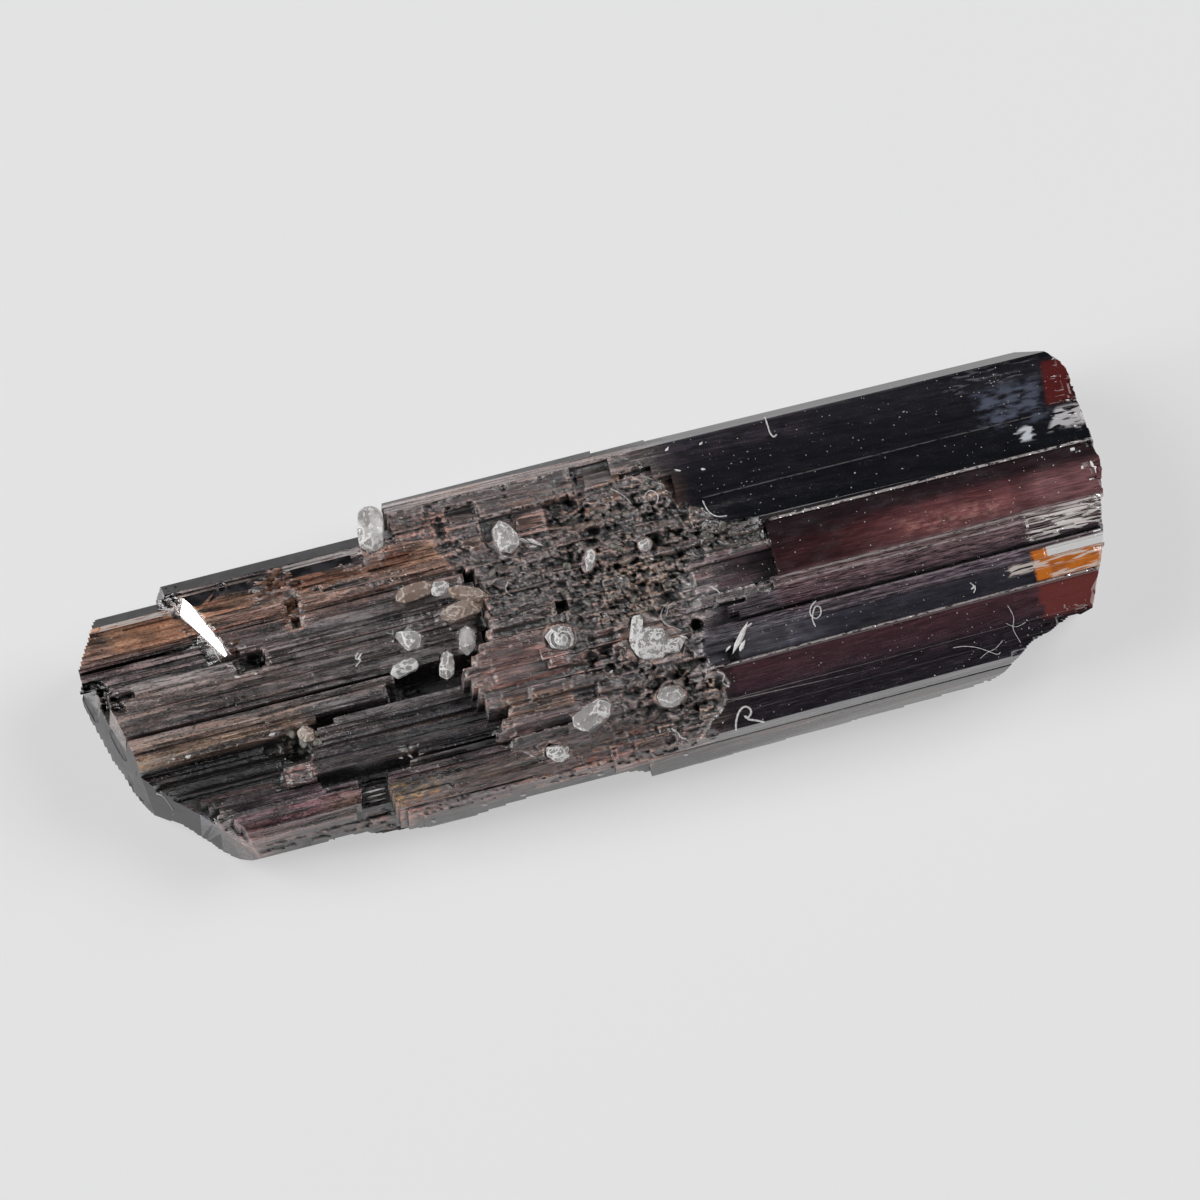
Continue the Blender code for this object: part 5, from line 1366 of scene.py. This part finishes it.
for path, radius in FIBRES:
    pts_ = []
    for q in catmull(path):
        p, n_ = land(*q)
        if p is None:
            continue
        pts_.append(p + E_D * (radius * 1.15))
    heights = np.array([p @ E_D for p in pts_])
    smoothed = heights.copy()
    for _ in range(3):  # a fibre bridges small gaps
        smoothed = np.maximum(heights, (np.concatenate([smoothed[:1], smoothed[:-1]]) + smoothed + np.concatenate([smoothed[1:], smoothed[-1:]])) / 3)
    pts_ = [p + (h_ - q_) * E_D for p, h_, q_ in zip(pts_, smoothed, heights)]
    if len(pts_) > 3:
        tube(b, pts_, radius)
bmesh.ops.recalc_face_normals(b, faces=b.faces)
lint_mesh = bpy.data.meshes.new("lint")
b.to_mesh(lint_mesh)
b.free()
lint_mesh.transform(Matrix.Scale(MM, 4))


def blob(b, centre, up, along, long, wide, thick, r, sides=6, rings=2):
    """A small closed lump with uneven facets, long by wide by thick mm."""
    a_ = along - (along @ up) * up
    a_ /= max(np.linalg.norm(a_), 1e-9)
    c_ = np.cross(up, a_)
    tips = [b.verts.new(centre + s_ * a_ * long / 2) for s_ in (-1, 1)]
    layers = []
    for k in range(rings):
        t = (k + 1) / (rings + 1) * 2 - 1
        w_ = math.sqrt(1 - t * t) * 1.05
        layers.append([b.verts.new(centre + a_ * (t + r.uniform(-0.12, 0.12)) * long / 2
                                   + (math.cos(g) * c_ * wide / 2 + math.sin(g) * up * thick / 2) * w_ * r.uniform(0.65, 1.1))
                       for g in (2 * math.pi * j / sides for j in range(sides))])
    for j in range(sides):
        k = (j + 1) % sides
        b.faces.new((tips[0], layers[0][k], layers[0][j]))
        b.faces.new((tips[1], layers[-1][j], layers[-1][k]))
        for l0, l1 in zip(layers, layers[1:]):
            b.faces.new((l0[j], l0[k], l1[k], l1[j]))


# dust: thick on the dark smooth faces, thin elsewhere
r = rng(1201)
b = bmesh.new()
DUST = [(210, 640, 1030, -98, 130, (0.4, 1.1)), (80, 700, 1030, 132, 205, (0.4, 1.0)), (60, 700, 1030, 62, 105, (0.4, 1.0)),
        (16, 700, 1030, 0, 3, (0.6, 1.4)), (110, 400, 700, -95, 200, (0.5, 1.3)), (60, 30, 400, -75, 200, (0.4, 1.0)),
        (70, 44, 205, 83.5, 91, (0.5, 1.3)), (60, 212, 305, 98, 106, (0.4, 1.1)), (14, 860, 960, 160, 190, (0.6, 1.4)), (10, 690, 740, 90, 120, (0.6, 1.6)), (12, 880, 960, -98, -70, (0.6, 1.6))]
for count, u0, u1, v0, v1, (small_, large_) in DUST:
    for _ in range(count):
        p, n_ = land(r.uniform(u0, u1), r.uniform(v0, v1))
        if p is None:
            continue
        d_ = GRID * r.uniform(small_, large_) * (1.5 if r.random() < 0.12 else 1.0)
        blob(b, p + n_ * d_ * 0.25, n_, r.normal(size=3), d_ * r.uniform(1.0, 2.2), d_, d_ * 0.7, r, 5, 1)
# the back and the underside carry a little of it too
for _ in range(70):
    d0 = Vector((0, r.choice([-1.0, 1.0]), r.uniform(-0.15, 0.6))).normalized()
    hit = TOP.ray_cast(Vector((r.uniform(-9, 9), 0, r.uniform(0.6, 2.2))) + d0 * 8, -d0)
    if hit[0] is not None:
        d_ = GRID * r.uniform(0.5, 1.2)
        n_ = np.array(hit[1])
        blob(b, np.array(hit[0]) + n_ * d_ * 0.25, n_, r.normal(size=3), d_ * r.uniform(1.0, 2.0), d_, d_ * 0.7, r, 5, 1)
bmesh.ops.recalc_face_normals(b, faces=b.faces)
dust_mesh = bpy.data.meshes.new("dust")
b.to_mesh(dust_mesh)
b.free()
dust_mesh.transform(Matrix.Scale(MM, 4))

SLIVERS = [  # from (u, v) to (u, v), width in steps
    # the first three are white chips laid in the notch as a painted highlight of its lit, striped step facet
    (241, 167.5, 266, 167.5, 2.0), (241, 172.5, 265, 172.5, 1.8), (242, 177.5, 264, 177.5, 1.6),
    (633, 123, 656, 95, 6.0), (640, 123, 649, 112, 4.0), (627, 119, 634, 114, 2.6), (652, 101, 660, 97, 2.4), (643, 108, 655, 99, 3.0),
    (454, -41, 465, -33, 5.0), (462, -39, 477, -28, 4.4), (461, -31, 471, -29, 3.0), (79, 89, 86, 88, 4.4), (165, 88.5, 173, 87, 4.6), (66, 87, 70, 88, 3.0),
    (133, -10, 137, 6, 1.5), (138, 10, 150, 13, 1.6), (146, 23, 153, 25, 2.6), (147, 12, 150, 19, 2.0), (166, 26, 170, 25, 2.2), (150, -11, 156, -7, 1.6),
    (293, 137, 299, 146, 2.4), (284, 141, 290, 143, 1.8), (268, 38, 276, 31, 2.0), (270, 34, 273, 40, 1.8), (879, 119, 885, 116, 2.6),
    (586, 92, 594, 97, 3.0), (508, 113, 514, 109, 2.6), (606, 44, 611, 46, 2.4), (628, 52, 634, 58, 2.2), (646, 8, 652, 14, 3.0), (634, 12, 641, 8, 2.6),
    (472, 206, 480, 208, 3.0), (392, 207, 400, 209, 2.6), (352, 207, 360, 209, 2.6), (300, 209, 306, 213, 2.6), (560, 208, 567, 210, 2.4),
    (541, 20, 546, 24, 2.4), (575, 8, 580, 13, 2.2), (617, -88, 623, -94, 2.4), (622, -70, 630, -66, 2.2), (648, -64, 653, -62, 2.4), (652, -87, 657, -90, 2.2),
]
r = rng(1301)
b = bmesh.new()
for u0, v0, u1, v1, wide in SLIVERS:
    p, n_ = land((u0 + u1) / 2, (v0 + v1) / 2)
    if p is None:
        continue
    way = (u1 - u0) * E_U + (v1 - v0) * E_V
    long = np.hypot(u1 - u0, v1 - v0) * GRID
    blob(b, p + E_D * wide * GRID * 0.22, E_D, way, long, wide * GRID, wide * GRID * 0.6, r, 6, 2)
bmesh.ops.recalc_face_normals(b, faces=b.faces)
sliver_mesh = bpy.data.meshes.new("bright_chips")
b.to_mesh(sliver_mesh)
b.free()
sliver_mesh.transform(Matrix.Scale(MM, 4))

# small rounded grains that crowd the ends of the channel and the etched ground
r = rng(1401)
b = bmesh.new()
for u0, v0, d0 in ((188, 92, 9), (197, 104, 9), (185, 100, 7), (211, 107, 8), (179, 95, 5), (214, 98, 6), (192, 112, 6), (203, 113, 7),
                   (495, -2, 8), (545, -10, 9), (551, -5, 7), (655, -3, 8), (662, 6, 7), (640, 4, 7), (604, -6, 6), (592, 14, 7),
                   (530, 38, 7), (551, 46, 8), (566, 58, 7), (588, 40, 7), (521, 60, 6), (486, 22, 6), (448, 20, 6), (420, -14, 6)):
    p, n_ = land(u0, v0)
    if p is not None:
        blob(b, p + E_D * d0 * GRID * 0.10, E_D, r.normal(size=3), d0 * GRID * 1.3, d0 * GRID, d0 * GRID * 0.8, r, 9, 5)
bmesh.ops.recalc_face_normals(b, faces=b.faces)
small_mesh = bpy.data.meshes.new("small_grains")
b.to_mesh(small_mesh)
b.free()
small_mesh.transform(Matrix.Scale(MM, 4))

# brown lumps in the cross crack and the ragged places of the second step
r = rng(1501)
b = bmesh.new()
for u0, v0, d0 in ((217, -35, 9), (215, -29, 8), (221, -31, 7), (218, -24, 9), (214, -20, 7), (221, -18, 8), (217, -13, 8), (213, -36, 6), (222, -37, 6),
                   (205, -63, 9), (211, -66, 7), (199, -59, 7), (204, -53, 8), (212, -56, 9), (219, -60, 6), (196, -52, 6), (190, -49, 6), (209, -46, 7),
                   (226, -53, 7), (150, -3, 5), (155, -9, 5), (152, 1, 4)):
    p, n_ = land(u0 + r.uniform(-1, 1), v0)
    if p is not None:
        blob(b, p + E_D * d0 * GRID * 0.08, E_D, E_U + 0.4 * r.normal(size=3), d0 * GRID * 1.7, d0 * GRID * 0.9, d0 * GRID * 0.75, r, 8, 4)
bmesh.ops.recalc_face_normals(b, faces=b.faces)
brown_mesh = bpy.data.meshes.new("brown_lumps")
b.to_mesh(brown_mesh)
b.free()
brown_mesh.transform(Matrix.Scale(MM, 4))


def dull_material(name, colour, other, rough, scale):
    N = Nodes(name)
    tc = N.node("ShaderNodeTexCoord").outputs["Object"]
    mm = N.node("ShaderNodeVectorMath", operation="SCALE")
    N.put(mm.inputs[0], tc)
    mm.inputs["Scale"].default_value = 1000.0
    n1 = N.noise(mm.outputs[0], 2.0, 0.5, 0.0, scale)
    N.put(N.p.inputs["Base Color"], N.mix_(lin(*colour), lin(*other), N.step(n1, 0.42, 0.60)))
    N.put(N.p.inputs["Roughness"], N.lerp(n1, 0.2, 0.8, rough, min(1.0, rough + 0.25)))
    return N.m


for mesh_, mat_, slot_ in ((lint_mesh, dull_material("lint", (216, 214, 214), (236, 234, 232), 0.5, 9.0), "quartz"),
                           (dust_mesh, dull_material("dust", (196, 190, 186), (236, 232, 228), 0.6, 3.0), "quartz"),
                           (sliver_mesh, dull_material("bright_chips", (236, 232, 230), (255, 253, 250), 0.25, 14.0), "quartz"),
                           (brown_mesh, dull_material("brown_lumps", (58, 38, 30), (118, 82, 62), 0.35, 9.0), "rutile"),
                           (small_mesh, dull_material("small_grains", (100, 96, 88), (150, 148, 138), 0.30, 9.0), "smoky_quartz")):
    mesh_.materials.append(mat_)
    o = add_object(mesh_.name, mesh_)
    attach(o, "root")


# ---------------------------------------------------------------- camera, floor, lights
def at(u, v, z):
    vv = v * GRID
    uu = (u - MID) * GRID
    y = (vv - E_V[2] * z) / E_V[1]
    x = (uu - E_U[1] * y - E_U[2] * z) / E_U[0]
    return np.array([x, y + BACK, z]) + SHIFT


target = Vector(at(518.4, 38.35, 1.7)) * MM
DIST = 0.4
cam = bpy.data.cameras.new("camera")
cam.sensor_width = 36
cam.lens = 36 * DIST / (1200 * GRID * MM)
cam.clip_start, cam.clip_end = 0.01, 3
co = bpy.data.objects.new("camera", cam)
bpy.context.scene.collection.objects.link(co)
back = Vector(E_D)
up = Vector((sa * se, ca * se, ce))
right = up.cross(back)
m = Matrix((right, up, back)).transposed().to_4x4()
m.translation = target + back * DIST
co.matrix_world = m
bpy.context.scene.camera = co

floor_mesh = bpy.data.meshes.new("floor")
floor_mesh.from_pydata([(-0.5, -0.5, -1e-5), (0.5, -0.5, -1e-5), (0.5, 0.5, -1e-5), (-0.5, 0.5, -1e-5)], [], [(0, 1, 2, 3)])
floor = add_object("floor", floor_mesh)
fm = bpy.data.materials.new("floor")
fm.use_nodes = True
fp = fm.node_tree.nodes["Principled BSDF"]
fp.inputs["Base Color"].default_value = (0.42, 0.42, 0.42, 1)
fp.inputs["Roughness"].default_value = 1.0
fp.inputs["Specular IOR Level"].default_value = 0.0
fp.inputs["Emission Color"].default_value = (1, 1, 1, 1)
fp.inputs["Emission Strength"].default_value = 0.48
floor_mesh.materials.append(fm)

world = bpy.data.worlds.new("world")
bpy.context.scene.world = world
world.use_nodes = True
wt = world.node_tree
bg = wt.nodes["Background"]
lp = wt.nodes.new("ShaderNodeLightPath")
mixw = wt.nodes.new("ShaderNodeMix")
mixw.data_type = "RGBA"
wt.links.new(lp.outputs["Is Camera Ray"], mixw.inputs[0])
mixw.inputs[6].default_value = (0.016, 0.018, 0.023, 1)
mixw.inputs[7].default_value = (0.768, 0.768, 0.768, 1)
wt.links.new(mixw.outputs[2], bg.inputs[0])


def softbox(name, azimuth, elevation, size, radiance, distance=0.30, size_y=None, colour=(1, 1, 1)):
    """A square or oblong light that faces the crystal; radiance is its brightness as seen from there."""
    a, e = math.radians(azimuth), math.radians(elevation)
    d = Vector((math.cos(e) * math.cos(a), math.cos(e) * math.sin(a), math.sin(e)))
    li = bpy.data.lights.new(name, "AREA")
    li.shape = "RECTANGLE"
    li.size, li.size_y = size, size_y or size
    li.energy = radiance * math.pi * li.size * li.size_y
    li.color = colour
    o = bpy.data.objects.new(name, li)
    o.location = d * distance + Vector((0, 0, 0.0015))
    o.rotation_euler = d.to_track_quat("Z", "Y").to_euler()
    bpy.context.scene.collection.objects.link(o)
    return o


facet = [at(116, -66, 2.69), at(144.5, -4, 2.76), at(106, -50, 2.47)]
fn = np.cross(facet[1] - facet[0], facet[2] - facet[0])
fn /= np.linalg.norm(fn)
fn = fn if fn @ E_D > 0 else -fn
mirror = 2 * (fn @ E_D) * fn - E_D
key_az, key_el = math.degrees(math.atan2(mirror[1], mirror[0])), math.degrees(math.asin(mirror[2]))
print("key at", round(key_az, 1), round(key_el, 1))
softbox("key", key_az, key_el, 0.075, 16.0)
softbox("left", 168, 48, 0.20, 2.9)
softbox("right", 8, 46, 0.20, 3.4)

bpy.context.scene.view_settings.view_transform = "Standard"
